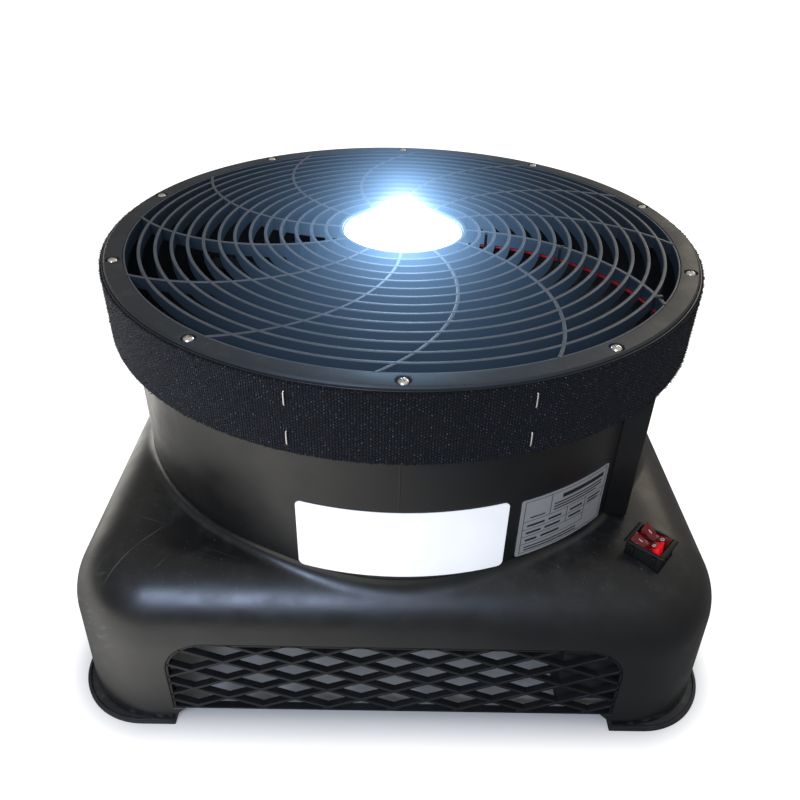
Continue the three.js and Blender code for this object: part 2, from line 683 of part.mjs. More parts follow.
function switchBox() {
  const [left, front, low] = BOX_LOW;
  const [right, back, high] = BOX_HIGH;
  const spacer = block(166, 170, 0.4 - BASE_HALF + BASE_WALL, front + 1, low + 10, high - 20);
  return block(left, right, front, back, low, high).add(spacer)
    .subtract(block(left + BOX_WALL, right - BOX_WALL, front + BOX_WALL, back - BOX_WALL,
      low + BOX_WALL, high + 1));
}

function lampDriver() {
  const floor = BOX_LOW[2] + BOX_WALL + GAP;
  return block(135, 179, -215, -185, floor, floor + 24);
}

// ---------------------------------------------------------------- assembly
add('base_housing', baseHousing(), blackPlastic());
['front', 'right', 'rear', 'left'].forEach((side, i) => {
  add(`intake_mesh_${side}`, intakePanel(), blackPlastic(), (mesh) => {
    mesh.rotation.z = degrees(quarterTurns[i]);
  });
});
['rear_right', 'rear_left', 'front_left', 'front_right'].forEach((corner, i) => {
  add(`foot_plate_${corner}`, footPlate(), blackPlastic(), (mesh) => {
    mesh.rotation.z = degrees(quarterTurns[i]);
  });
});
add('cable_bush', cableBush(), blackPlastic());

add('outlet_collar', outletCollar(), blackPlastic());
add('clamp_ring', clampRing(), darkPlastic());
add('outlet_grille', outletGrille(), darkPlastic());
screwAngles.forEach((angle, i) => {
  const name = `ring_screw_${String(i + 1).padStart(2, '0')}`;
  add(name, ringScrew(), zinc(), (mesh) => mesh.position.copy(around(SCREW_CIRCLE, angle)));
});
add('hook_band', ring(BAND_IN, BAND_OUT, BAND_BOTTOM, BAND_TOP), fabric());
[['left', -17], ['right', 19.5]].forEach(([side, angle]) => {
  [['upper', 284.3], ['lower', 256.1]].forEach(([level, z]) => {
    add(`band_staple_${side}_${level}`, staple(), steel(), (mesh) => {
      mesh.position.copy(around(BAND_OUT + GAP + 0.7, angle, z));
      mesh.rotation.z = degrees(angle);
    });
  });
});
add('name_plate', label(-18.3, 19.7, 135.3, 193.5), finish(0xf4f4f2, 0.4));
add('rating_label', label(22.2, 43.6, 139.3, 191), finish(0xb9bcbf, 0.35, 0.5));
add('conduit_cover', conduitCover(), blackPlastic());

add('lamp_housing', lampHousing(), aluminium());
add('lamp_board', lampBoard(), finish(0xe8e8e0, 0.6));
add('lamp_lens', lampLens(), finish(0xffffff, 0.2));
add('lamp_wire_red', lampWire(-1), finish(0xb01414, 0.5));
add('lamp_wire_blue', lampWire(1), finish(0x1c2f8c, 0.5));
[66.9, 126, 206.9].forEach((radius, i) => {
  add(`cable_tie_${i + 1}`, cableTie(radius), darkPlastic());
});

add('switch_housing', switchHousing(), blackPlastic());
add('rocker_lamp', rocker(-1, -ROCKER_TILT), finish(0xb5121b, 0.25));
add('rocker_fan', rocker(1, ROCKER_TILT), finish(0x9c1018, 0.25));

add('motor_bracket', motorBracket(), steel());
quarterTurns.forEach((turn, i) => {
  add(`bracket_bolt_${i + 1}`, bracketBolt(), zinc(), (mesh) => {
    mesh.position.copy(around(BOLT_CIRCLE, turn + 45));
  });
});
add('motor_lower_cap', motorLowerCap(), aluminium());
add('motor_can', motorCan(), steel());
add('motor_upper_cap', motorUpperCap(), aluminium());
add('motor_stator', motorStator(), finish(0x8a4a22, 0.5, 0.6));
add('motor_rotor', motorRotor(), steel());
add('motor_shaft', motorShaft(), steel());
add('bearing_lower', bearing(MOTOR_FLOOR + 2 + 2 * GAP), steel());
add('bearing_upper', bearing(MOTOR_FLOOR + MOTOR_TALL + 2), steel());
add('fan_rotor', fanRotor(), blackPlastic());
add('fan_nut', fanNut(), steel());
add('run_capacitor', runCapacitor(), finish(0xd9d9d4, 0.4));
add('switch_box', switchBox(), blackPlastic());
add('lamp_driver', lampDriver(), finish(0x303234, 0.5));

export default airMover;
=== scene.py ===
import math
import random

import bmesh
import bpy
import numpy as np
from mathutils import Matrix, Vector


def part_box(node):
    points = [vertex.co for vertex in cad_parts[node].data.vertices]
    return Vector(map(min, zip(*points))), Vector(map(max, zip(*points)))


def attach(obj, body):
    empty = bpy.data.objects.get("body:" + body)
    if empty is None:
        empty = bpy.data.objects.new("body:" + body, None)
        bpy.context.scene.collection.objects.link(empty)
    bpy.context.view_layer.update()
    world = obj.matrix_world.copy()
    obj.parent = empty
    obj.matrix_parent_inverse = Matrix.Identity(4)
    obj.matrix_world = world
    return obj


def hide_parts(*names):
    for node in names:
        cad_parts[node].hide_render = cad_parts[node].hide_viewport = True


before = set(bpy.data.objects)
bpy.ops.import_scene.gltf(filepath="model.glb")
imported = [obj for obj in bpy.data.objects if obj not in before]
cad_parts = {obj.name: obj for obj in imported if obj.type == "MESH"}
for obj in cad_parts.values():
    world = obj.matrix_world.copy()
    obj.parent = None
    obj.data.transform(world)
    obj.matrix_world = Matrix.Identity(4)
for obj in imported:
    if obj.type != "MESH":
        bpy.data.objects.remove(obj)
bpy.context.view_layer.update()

MM = 0.001
CHASSIS = "chassis"

# ---------------------------------------------------------------- sizes from the frame
base_low, base_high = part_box("base_housing")
BASE_HALF = base_high.x
BASE_TOP = base_high.z
BASE_BOTTOM = base_low.z
BASE_EDGE = 53 * MM            # radius of the base's rounded top edge
BASE_CORNER = 70 * MM          # plan radius of its vertical corners at the shoulder
BASE_FOOT_CORNER = 63 * MM     # and at the floor
BASE_WALL = 3 * MM
BASE_FILLET = 6.5 * MM         # hollow fillet where the base runs up to the collar

foot_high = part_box("foot_plate_front_right")[1]
FOOT_HALF = foot_high.x
FOOT_THICK = foot_high.z
FOOT_CORNER = 55 * MM

mesh_low, mesh_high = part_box("intake_mesh_front")
WINDOW_HALF = mesh_high.x + 0.3 * MM
WINDOW_LOW = mesh_low.z - 0.3 * MM
WINDOW_TOP = mesh_high.z + 0.3 * MM
WINDOW_CORNER = 30 * MM
LATTICE_FACE = -mesh_low.y
DIAMOND_WIDTH = 48.6 * MM
DIAMOND_HEIGHT = 20.6 * MM
KNOT_HEIGHT = 18 * MM

collar_low, collar_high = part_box("outlet_collar")
RIM_OUT = collar_high.x
RIM_TOP = collar_high.z
COLLAR_LOW = collar_low.z
COLLAR_OUT = RIM_OUT - 12.8 * MM
COLLAR_IN = COLLAR_OUT - 4 * MM
SOCKET_IN = COLLAR_OUT + 0.3 * MM
SOCKET_OUT = SOCKET_IN + 3 * MM
LEDGE_IN = 196 * MM
LEDGE_TOP = COLLAR_LOW - 0.3 * MM
WIRE_HOLE = 236 * MM           # height of the hole where the lamp's wires leave the collar
WIRE_DROP = 49.1               # and its angle from the front

clamp_low, clamp_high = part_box("clamp_ring")
CLAMP_OUT = clamp_high.x
CLAMP_IN = CLAMP_OUT - 13.8 * MM
CLAMP_BOTTOM = clamp_low.z
TOP = clamp_high.z
SCREW_CIRCLE = 221 * MM
SCREW_COUNT = 10

band_low, band_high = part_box("hook_band")
BAND_OUT = band_high.x
RIM_BOTTOM = band_low.z - 1.1 * MM

grille_low, grille_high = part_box("outlet_grille")
HUB_RING = 49.3 * MM
RING_PITCH = 11.8 * MM
RING_COUNT = 14
BAR_WIDTH = 2.6 * MM
SPOKE_COUNT = 12
SPOKE_BOW = 137.5 * MM
SPOKE_CENTRE = 144.3 * MM
FIRST_SPOKE = -4.4

lens_low, lens_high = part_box("lamp_lens")
switch_low, switch_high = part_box("switch_housing")
SWITCH_MIDDLE = (switch_low + switch_high) / 2
SWITCH_TURN = math.radians(-40.9)
BEZEL_TOP = switch_high.z
ROCKER_PITCH = 11.2 * MM
ROCKER_PIVOT = 141.5 * MM       # height of the rockers' hinge
FINE = 360                      # segments round the big round pieces
HOOK_COUNT = 9000


# ---------------------------------------------------------------- mesh helpers
def around(radius, degrees, z=0.0):
    """A point at a radius and at an angle from the front, turning towards +X."""
    turn = math.radians(degrees)
    return Vector((radius * math.sin(turn), -radius * math.cos(turn), z))


def piece(name, points, faces, material, crease=35):
    """A mesh object from its points and faces, smooth but for edges sharper than crease."""
    mesh = bpy.data.meshes.new(name)
    mesh.from_pydata([tuple(point) for point in points], [], faces)
    made = bpy.data.objects.new(name, mesh)
    bpy.context.scene.collection.objects.link(made)
    mesh.materials.append(material)
    tidy(made, crease)
    return made


def tidy(made, crease=35):
    """Points the faces outwards and sets which edges look sharp."""
    work = bmesh.new()
    work.from_mesh(made.data)
    bmesh.ops.recalc_face_normals(work, faces=work.faces)
    work.to_mesh(made.data)
    work.free()
    made.data.shade_smooth()
    made.data.set_sharp_from_angle(angle=math.radians(crease))


def applied(made, crease=35):
    """Turns the object's modifiers into its mesh."""
    graph = bpy.context.evaluated_depsgraph_get()
    graph.update()
    mesh = bpy.data.meshes.new_from_object(made.evaluated_get(graph))
    made.modifiers.clear()
    made.data = mesh
    mesh.shade_smooth()
    mesh.set_sharp_from_angle(angle=math.radians(crease))
    return made


def bevelled(made, width, segments=2, angle=30):
    bevel = made.modifiers.new("bevel", "BEVEL")
    bevel.width = width
    bevel.segments = segments
    bevel.limit_method = "ANGLE"
    bevel.angle_limit = math.radians(angle)
    return applied(made)


def cut(made, *cutters):
    """Takes the cutters out of the piece and removes them."""
    for cutter in cutters:
        boolean = made.modifiers.new("cut", "BOOLEAN")
        boolean.operation = "DIFFERENCE"
        boolean.solver = "EXACT"
        boolean.object = cutter
        cutter.hide_render = True
    applied(made)
    for cutter in cutters:
        bpy.data.objects.remove(cutter)
    return made


def joined(name, parts, crease=35):
    """One object out of several, with every part's own material."""
    points, faces, slots, materials = [], [], [], []
    for part in parts:
        start = len(points)
        for material in part.data.materials:
            if material not in materials:
                materials.append(material)
        place = part.matrix_world.copy()
        points += [place @ vertex.co for vertex in part.data.vertices]
        for face in part.data.polygons:
            faces.append([start + index for index in face.vertices])
            slots.append(materials.index(part.data.materials[face.material_index]))
        bpy.data.objects.remove(part)
    made = piece(name, points, faces, materials[0], crease)
    for material in materials[1:]:
        made.data.materials.append(material)
    made.data.polygons.foreach_set("material_index", slots)
    return made


def loft(name, loops, material, closed=True, capped=False, crease=35):
    """Quads between point loops; closed joins the last loop to the first."""
    count, size = len(loops), len(loops[0])
    points = [point for loop in loops for point in loop]
    faces = []
    for i in range(count if closed else count - 1):
        a, b = i * size, ((i + 1) % count) * size
        for j in range(size):
            k = (j + 1) % size
            faces.append([a + j, a + k, b + k, b + j])
    if capped:
        faces.append(list(range(size))[::-1])
        faces.append([(count - 1) * size + j for j in range(size)])
    return piece(name, points, faces, material, crease)


def rounded(corners, steps=4):
    """A closed profile with each corner (x, y, radius) rounded off."""
    out, count = [], len(corners)
    for i, (x, y, radius) in enumerate(corners):
        here = Vector((x, y))
        before = Vector(corners[i - 1][:2])
        after = Vector(corners[(i + 1) % count][:2])
        if radius <= 0:
            out.append(here)
            continue
        to_before = (before - here).normalized()
        to_after = (after - here).normalized()
        half = to_before.angle(to_after) / 2
        reach = min(radius / math.tan(half), 0.49 * (before - here).length,
                    0.49 * (after - here).length)
        start, end = here + to_before * reach, here + to_after * reach
        for step in range(steps + 1):
            t = step / steps
            out.append((1 - t) ** 2 * start + 2 * t * (1 - t) * here + t * t * end)
    return out


def lathe(name, corners, material, segments=FINE, steps=4, crease=35):
    """A solid turned round the Z axis from a closed profile of (radius, z, rounding)."""
    profile = rounded(corners, steps)
    loops = []
    for i in range(segments):
        turn = 2 * math.pi * i / segments
        sine, cosine = math.sin(turn), math.cos(turn)
        loops.append([Vector((p.x * sine, -p.x * cosine, p.y)) for p in profile])
    return loft(name, loops, material, True, False, crease)


def cup(name, profile, material, segments=FINE, crease=35):
    """A solid turned from an open profile of (radius, z) that starts and ends on the axis."""
    points = [Vector((0, 0, profile[0][1]))]
    for radius, z in profile[1:-1]:
        for i in range(segments):
            turn = 2 * math.pi * i / segments
            points.append(Vector((radius * math.sin(turn), -radius * math.cos(turn), z)))
    points.append(Vector((0, 0, profile[-1][1])))
    rings, last = len(profile) - 2, len(points) - 1
    faces = []
    for j in range(segments):
        k = (j + 1) % segments
        faces.append([0, 1 + j, 1 + k])
        end = 1 + (rings - 1) * segments
        faces.append([last, end + k, end + j])
        for i in range(rings - 1):
            a, b = 1 + i * segments, 1 + (i + 1) * segments
            faces.append([a + j, b + j, b + k, a + k])
    return piece(name, points, faces, material, crease)


def ring(name, inner, outer, low, high, rounding, material, segments=FINE):
    """A turned ring of rectangular section with rounded edges."""
    corners = [(inner, low, rounding), (outer, low, rounding), (outer, high, rounding),
               (inner, high, rounding)]
    return lathe(name, corners, material, segments)


def plug(name, radius, low, high, material, segments=FINE):
    """A plain solid cylinder on the Z axis."""
    return cup(name, [(0, low), (radius, low), (radius, high), (0, high)], material, segments)


def upright(outline, y):
    """An outline stood up across the front, at a depth."""
    return [Vector((p.x, y, p.y)) for p in outline]


def prism(name, outline, low, high, material, crease=35):
    """A solid between two heights with a closed outline of (x, y)."""
    loops = [[Vector((x, y, z)) for x, y in outline] for z in (low, high)]
    return loft(name, loops, material, False, True, crease)


def box(name, low, high, material, rounding=0.0, segments=3):
    corners = [(low[0], low[1]), (high[0], low[1]), (high[0], high[1]), (low[0], high[1])]
    made = prism(name, corners, low[2], high[2], material)
    return bevelled(made, rounding, segments) if rounding else made


def sweep(name, path, section, material, up=None, capped=True, crease=40):
    """A solid along a path; section is (across, up) points, and up may be a fixed direction."""
    loops = []
    side = None
    for i, here in enumerate(path):
        along = (path[min(i + 1, len(path) - 1)] - path[max(i - 1, 0)]).normalized()
        if up is not None:
            side = along.cross(up).normalized()
        elif side is None:
            side = along.orthogonal().normalized()
        else:
            side = (side - along * side.dot(along)).normalized()
        lift = side.cross(along)
        loops.append([here + side * a + lift * b for a, b in section])
    return loft(name, loops, material, False, capped, crease)


def circle(radius, sides):
    return [(radius * math.cos(2 * math.pi * i / sides),
             radius * math.sin(2 * math.pi * i / sides)) for i in range(sides)]


def curve_through(points, steps):
    """A smooth path (centripetal Catmull-Rom) through chosen points."""
    line = [2 * points[0] - points[1], *points, 2 * points[-1] - points[-2]]
    out = []
    for a, b, c, d in zip(line, line[1:], line[2:], line[3:]):
        start = (b - a).length ** 0.5
        end = start + (c - b).length ** 0.5
        last = end + (d - c).length ** 0.5
        for step in range(steps):
            t = start + (end - start) * step / steps
            ab = a.lerp(b, t / start)
            bc = b.lerp(c, (t - start) / (end - start))
            cd = c.lerp(d, (t - end) / (last - end))
            abc = ab.lerp(bc, t / end)
            bcd = bc.lerp(cd, (t - start) / (last - start))
            out.append(abc.lerp(bcd, (t - start) / (end - start)))
    out.append(points[-1].copy())
    return out


def moved(made, matrix):
    """Moves the piece's points, so that its origin stays at the frame's origin."""
    made.data.transform(matrix)
    return made


def copy_of(made, name, matrix):
    other = bpy.data.objects.new(name, made.data.copy())
    bpy.context.scene.collection.objects.link(other)
    return moved(other, matrix)


def spin(degrees):
    return Matrix.Rotation(math.radians(degrees), 4, "Z")


def settle(made, body, slot, *nodes):
    """The piece rides on a body and stands for CAD nodes, which it hides. The slot argument is not
    used.
    """
    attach(made, body)
    if nodes:
        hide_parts(*nodes)
    return made


# ---------------------------------------------------------------- materials
class Paint:
    """A Principled material and short ways to add nodes to it."""

    def __init__(self, name, colour, roughness, metal=0.0, **sockets):
        self.material = bpy.data.materials.new(name)
        self.material.use_nodes = True
        self.tree = self.material.node_tree
        self.shader = self.tree.nodes["Principled BSDF"]
        self.set("Base Color", (*colour, 1))
        self.set("Roughness", roughness)
        self.set("Metallic", metal)
        for key, value in sockets.items():
            self.set(key.replace("_", " "), value)
        self.place = self.node("ShaderNodeTexCoord").outputs["Object"]
        self.height = None

    def set(self, socket, value):
        if isinstance(value, bpy.types.NodeSocket):
            self.tree.links.new(value, self.shader.inputs[socket])
        else:
            self.shader.inputs[socket].default_value = value

    def node(self, kind, inputs=None, **settings):
        made = self.tree.nodes.new(kind)
        for key, value in settings.items():
            setattr(made, key, value)
        for key, value in (inputs or {}).items():
            if isinstance(value, bpy.types.NodeSocket):
                self.tree.links.new(value, made.inputs[key])
            else:
                made.inputs[key].default_value = value
        return made

    def math(self, operation, a, b=0.0, c=0.0):
        return self.node("ShaderNodeMath", {0: a, 1: b, 2: c}, operation=operation).outputs[0]

    def span(self, value, low, high, to_low=0.0, to_high=1.0):
        """The value's range low to high spread smoothly over another, held at its ends."""
        return self.node("ShaderNodeMapRange", {"Value": value, "From Min": low, "From Max": high,
                         "To Min": to_low, "To Max": to_high},
                         interpolation_type="SMOOTHSTEP").outputs["Result"]

    def axes(self, vector=None):
        split = self.node("ShaderNodeSeparateXYZ", {"Vector": vector or self.place})
        return split.outputs[0], split.outputs[1], split.outputs[2]

    def facing(self):
        return self.node("ShaderNodeNewGeometry").outputs["Normal"]

    def noise(self, scale, detail=2.0, rough=0.5, vector=None, distortion=0.0):
        return self.node("ShaderNodeTexNoise", {"Vector": vector or self.place, "Scale": scale,
                         "Detail": detail, "Roughness": rough,
                         "Distortion": distortion}).outputs["Fac"]

    def stretched(self, scale, turn=(0, 0, 0)):
        """The object's coordinates turned, then stretched."""
        turned = self.node("ShaderNodeMapping", {"Vector": self.place, "Rotation": turn})
        return self.node("ShaderNodeMapping", {"Vector": turned.outputs[0],
                         "Scale": scale}).outputs[0]

    def mix(self, share, a, b):
        sides = [(*side, 1) if isinstance(side, tuple) and len(side) == 3 else side
                 for side in (a, b)]
        made = self.node("ShaderNodeMix", {}, data_type="RGBA")
        for socket, value in ((made.inputs[0], share), (made.inputs[6], sides[0]),
                              (made.inputs[7], sides[1])):
            if isinstance(value, bpy.types.NodeSocket):
                self.tree.links.new(value, socket)
            else:
                socket.default_value = value
        return made.outputs[2]

    def blend(self, share, a, b):
        """Between two numbers."""
        made = self.node("ShaderNodeMix", {0: share, 2: a, 3: b}, data_type="FLOAT")
        return made.outputs[0]

    def raise_by(self, height, strength, distance):
        """Adds relief to what is there already."""
        inputs = {"Height": height, "Strength": strength, "Distance": distance}
        if self.height is not None:
            inputs["Normal"] = self.height
        self.height = self.node("ShaderNodeBump", inputs).outputs[0]
        self.set("Normal", self.height)

    def glare(self, share=1.0, wide=0.03):
        """The lit lamp's glare over the pieces round it: three falloffs from the lens.

        They are squashed front to back, to suit the view from the front.
        """
        x, y, _ = self.axes()
        squash = self.span(y, 0.0, 0.14, 0.54, 0.33)
        depth = self.math("MULTIPLY", self.math("SUBTRACT", y, 0.012), squash)
        flat = self.node("ShaderNodeCombineXYZ", {0: x, 1: depth, 2: 0.0})
        away = self.node("ShaderNodeVectorMath", {0: flat.outputs[0]}, operation="LENGTH")
        total = None
        falloffs = ((6, 0.0105), (1.5, 0.027), (wide, 0.106))    # strength, reach in metres
        for strength, reach in falloffs:
            power = self.math("MULTIPLY", away.outputs["Value"], -1 / reach)
            part = self.math("MULTIPLY", self.math("POWER", math.e, power), strength * share)
            total = part if total is None else self.math("ADD", total, part)
        self.set("Emission Color", self.mix(self.span(total, 0.5, 1.6), (0.3, 0.57, 1),
                                            (0.85, 0.96, 1)))
        self.set("Emission Strength", self.math("MULTIPLY", total, 1.75))


def plastic(name, colour, roughness, grain=0.25, clouds=0.2, dust=0.0, specular=0.5):
    """Moulded plastic: fine grain, slow cloudiness, small dust specks on its upper faces."""
    paint = Paint(name, colour, roughness, Specular_IOR_Level=specular)
    slow = paint.noise(14, 3)
    light = tuple(part * (1 + clouds) for part in colour)
    dark = tuple(part * (1 - clouds) for part in colour)
    paint.colour = paint.mix(paint.span(slow, 0.3, 0.7), dark, light)
    rough = paint.span(paint.noise(38, 4, 0.6), 0.3, 0.7, roughness - 0.05, roughness + 0.06)
    if dust:
        upward = paint.span(paint.axes(paint.facing())[2], 0.55, 0.95)
        specks = paint.span(paint.noise(620, 1), 0.74, 0.8)
        film = paint.math("MULTIPLY", paint.span(paint.noise(55, 5, 0.7), 0.45, 0.75), 0.18)
        amount = paint.math("MULTIPLY", paint.math("MAXIMUM", specks, film), upward)
        amount = paint.math("MULTIPLY", amount, dust)
        paint.colour = paint.mix(amount, paint.colour, (0.22, 0.21, 0.19))
        rough = paint.math("ADD", rough, paint.math("MULTIPLY", amount, 0.4))
    paint.rough = rough
    paint.set("Base Color", paint.colour)
    paint.set("Roughness", rough)
    paint.raise_by(paint.noise(1500, 2), grain, 0.00012)
    return paint


def base_plastic():
    """The base shell, with scratches and dust on its left top, a scuff on its front left corner and
    scuffs along its bottom edge.
    """
    paint = plastic("housing_base", (0.0085, 0.0085, 0.0085), 0.33, 0.2, 0.25, 0.45)
    x, _, z = paint.axes()
    left = paint.span(x, -0.12, -0.2)
    high = paint.span(z, BASE_TOP - 0.03, BASE_TOP - 0.004)
    scratches = None
    for turn, low in ((0.35, 0.715), (-0.9, 0.735), (1.25, 0.73), (2.2, 0.72)):
        streak = paint.noise(1, 2, 0.5, paint.stretched((9, 520, 9), (0, 0, turn)))
        line = paint.span(streak, low, low + 0.03)
        scratches = line if scratches is None else paint.math("MAXIMUM", scratches, line)
    patchy = paint.span(paint.noise(11, 2), 0.42, 0.62)
    scratched = paint.math("MULTIPLY", scratches, paint.math("MULTIPLY", patchy, high))
    scratched = paint.math("MULTIPLY", scratched, paint.math("MULTIPLY_ADD", left, 0.55, 0.1))
    corner = paint.node("ShaderNodeVectorMath", {0: paint.place, 1: (-0.228, -0.212, 0.092)},
                        operation="DISTANCE").outputs["Value"]
    near = paint.span(corner, 0.05, 0.012)
    rub = paint.noise(1, 3, 0.6, paint.stretched((60, 60, 330), (0.5, 0.25, 0)))
    scuff = paint.math("MULTIPLY", near, paint.span(rub, 0.58, 0.66))
    low_edge = paint.math("MULTIPLY", paint.span(z, 0.012, 0.004),
                          paint.span(paint.noise(160, 3), 0.5, 0.68))
    wear_and_painted_light = paint.math("MAXIMUM", scratched, paint.math("MULTIPLY", scuff, 0.5))
    wear_and_painted_light = paint.math("MAXIMUM", wear_and_painted_light, paint.math("MULTIPLY", low_edge, 0.3))
    paint.set("Base Color", paint.mix(wear_and_painted_light, paint.colour, (0.17, 0.175, 0.18)))
    paint.set("Roughness", paint.math("ADD", paint.rough, paint.math("MULTIPLY", wear_and_painted_light, 0.25)))
    paint.raise_by(paint.noise(7, 1), 0.35, 0.0012)
    return paint.material


def collar_plastic():
    """The collar, with its mould's parting line down the front."""
    paint = plastic("housing_collar", (0.0085, 0.0085, 0.0085), 0.34, 0.2, 0.22, 0.3, 0.42)
    x, y, _ = paint.axes()
    front = paint.math("LESS_THAN", y, 0.0)
    line = paint.math("MULTIPLY", paint.span(paint.math("ABSOLUTE", x), 0.0007, 0.0001), front)
    paint.raise_by(line, 0.5, 0.0002)
    streak = paint.noise(1, 2, 0.5, paint.stretched((90, 90, 5)))
    paint.raise_by(streak, 0.12, 0.0006)
    return paint.material


def clamp_plastic():
    paint = plastic("clamp_ring_top", (0.016, 0.0165, 0.016), 0.42, 0.25, 0.18, 0.45, 0.4)
    paint.glare(1.0, 0.015)
    return paint.material


def fan_plastic():
    paint = plastic("fan_blades", (0.014, 0.0145, 0.016), 0.38, 0.2, 0.2, 0.3)
    paint.glare(0.25, 0.012)
    return paint.material


def lamp_shell():
    paint = Paint("lamp_shell", (0.5, 0.51, 0.52), 0.4, 1.0)
    paint.set("Roughness", paint.span(paint.noise(120, 4), 0.3, 0.7, 0.32, 0.5))
    paint.raise_by(paint.noise(700, 3, 0.7), 0.3, 0.0003)
    paint.glare(1.4)
    return paint.material


def grille_plastic():
    """Painted light: the bars' tops are painted lighter and mottled, and their sides painted darker
    as shade; dust on the upper faces shows only in their roughness.
    """
    paint = plastic("grille_bars", (0.03, 0.031, 0.032), 0.42, 0.2, 0.15, 0.35)
    # painted light: upward faces take a lighter mottled colour and the sides a dark one, as if lit
    # from above
    top = paint.span(paint.axes(paint.facing())[2], 0.3, 0.9)
    wear_and_painted_light = paint.mix(paint.span(paint.noise(70, 4), 0.3, 0.7), (0.05, 0.051, 0.053),
                     (0.075, 0.076, 0.078))
    paint.set("Base Color", paint.mix(top, (0.011, 0.013, 0.015), wear_and_painted_light))
    paint.glare()
    return paint.material


def hook_tape():
    """Woven hook tape: upright ribs of tiny hooks, with painted glints on them and painted shade in
    the gaps between them.
    """
    paint = Paint("hook_tape", (0.01, 0.012, 0.018), 0.72, Sheen_Weight=0.05,
                  Sheen_Roughness=0.4, Sheen_Tint=(0.55, 0.6, 0.8, 1), Specular_IOR_Level=0.2)
    x, y, z = paint.axes()
    turn = paint.math("ARCTAN2", x, paint.math("MULTIPLY", y, -1.0))
    columns = paint.math("MULTIPLY", turn, 800 / (2 * math.pi))
    rows = paint.math("MULTIPLY", z, 1 / 0.0021)
    rows = paint.math("ADD", rows, paint.math("MULTIPLY", paint.math("FLOOR", columns), 0.5))
    wobble = paint.noise(240, 2)
    columns = paint.math("ADD", columns, paint.math("MULTIPLY", wobble, 0.5))
    across = paint.math("PINGPONG", columns, 0.5)
    along = paint.math("PINGPONG", paint.math("ADD", rows, paint.math("MULTIPLY", wobble, 0.9)),
                       0.5)
    hooks = paint.math("MULTIPLY", paint.span(across, 0.08, 0.42), paint.span(along, 0.0, 0.4))
    fuzz = paint.noise(1900, 2, 0.7)
    height = paint.math("ADD", hooks, paint.math("MULTIPLY", fuzz, 0.8))
    # painted highlights: bluish-white glints on the hooks, glossier there
    glint = paint.math("MULTIPLY", paint.span(paint.noise(700, 2, 0.7), 0.55, 0.7),
                       paint.span(hooks, 0.3, 0.9))
    # painted shade: the gaps between the hooks are coloured much darker than the hooks
    body = paint.mix(paint.span(hooks, 0.0, 1.0), (0.001, 0.0015, 0.002), (0.008, 0.0105, 0.015))
    paint.set("Base Color", paint.mix(glint, body, (0.13, 0.15, 0.2)))
    paint.set("Roughness", paint.blend(glint, 0.8, 0.42))
    paint.raise_by(height, 0.9, 0.0009)
    return paint.material


def metal(name, colour, roughness, brushed=(60, 60, 900), shade=0.18):
    paint = Paint(name, colour, roughness, 1.0)
    grain = paint.noise(1, 3, 0.6, paint.stretched(brushed))
    dull = tuple(part * (1 - shade) for part in colour)
    paint.set("Base Color", paint.mix(paint.span(paint.noise(90, 3), 0.35, 0.65), dull, colour))
    paint.set("Roughness", paint.span(grain, 0.3, 0.7, roughness - 0.07, roughness + 0.09))
    paint.raise_by(grain, 0.12, 0.00008)
    return paint.material


def cast_metal(name, colour, roughness, metallic=1.0):
    paint = Paint(name, colour, roughness, metallic)
    paint.set("Roughness", paint.span(paint.noise(120, 4), 0.3, 0.7, roughness - 0.08,
                                      roughness + 0.1))
    paint.raise_by(paint.noise(700, 3, 0.7), 0.3, 0.0003)
    return paint.material


def paper(name, colour, roughness, metallic=0.0, glow=0.0):
    """Printed label stock: faint mottling and a little orange peel; glow is painted light that
    makes it brighter than its lighting does.
    """
    paint = Paint(name, colour, roughness, metallic, Emission_Color=(1, 1, 1, 1),
                  Emission_Strength=glow)
    dull = tuple(part * 0.93 for part in colour)
    paint.set("Base Color", paint.mix(paint.span(paint.noise(35, 4), 0.35, 0.7), colour, dull))
    paint.set("Roughness", paint.span(paint.noise(400, 2), 0.3, 0.7, roughness - 0.04,
                                      roughness + 0.06))
    paint.raise_by(paint.noise(260, 2), 0.06, 0.0003)
    return paint.material


def rocker_plastic():
    """Tinted rocker plastic; the pressed-on rocker is painted brighter red and glows towards its
    raised end: painted light.
    """
    paint = Paint("rocker_red", (0.2, 0.004, 0.006), 0.2, Coat_Weight=0.12, Coat_Roughness=0.12,
                  Specular_IOR_Level=0.35,
                  Subsurface_Weight=0.15, Subsurface_Radius=(0.004, 0.0006, 0.0004))
    turn = paint.node("ShaderNodeMapping", {"Vector": paint.place,
                      "Location": (-SWITCH_MIDDLE.x, -SWITCH_MIDDLE.y, 0)})
    local = paint.node("ShaderNodeMapping", {"Vector": turn.outputs[0],
                       "Rotation": (0, 0, -SWITCH_TURN)})
    along, across, _ = paint.axes(local.outputs[0])
    # painted light: the near rocker's raised end gets a brighter red colour and a red glow
    raised = paint.span(along, 0.0035, 0.0085)
    near = paint.math("LESS_THAN", across, 0.0)
    lit = paint.math("MULTIPLY", raised, near)
    cloud = paint.span(paint.noise(420, 2), 0.35, 0.65)
    body = paint.mix(cloud, (0.09, 0.0015, 0.003), (0.17, 0.004, 0.007))
    paint.set("Base Color", paint.mix(lit, body, (0.55, 0.006, 0.012)))
    paint.set("Emission Color", (0.9, 0.012, 0.02, 1))
    paint.set("Emission Strength", paint.blend(lit, 0.02, 0.4))
    paint.set("Roughness", paint.span(paint.noise(900, 2), 0.3, 0.7, 0.16, 0.28))
    paint.raise_by(paint.noise(300, 1), 0.05, 0.0003)
    return paint.material


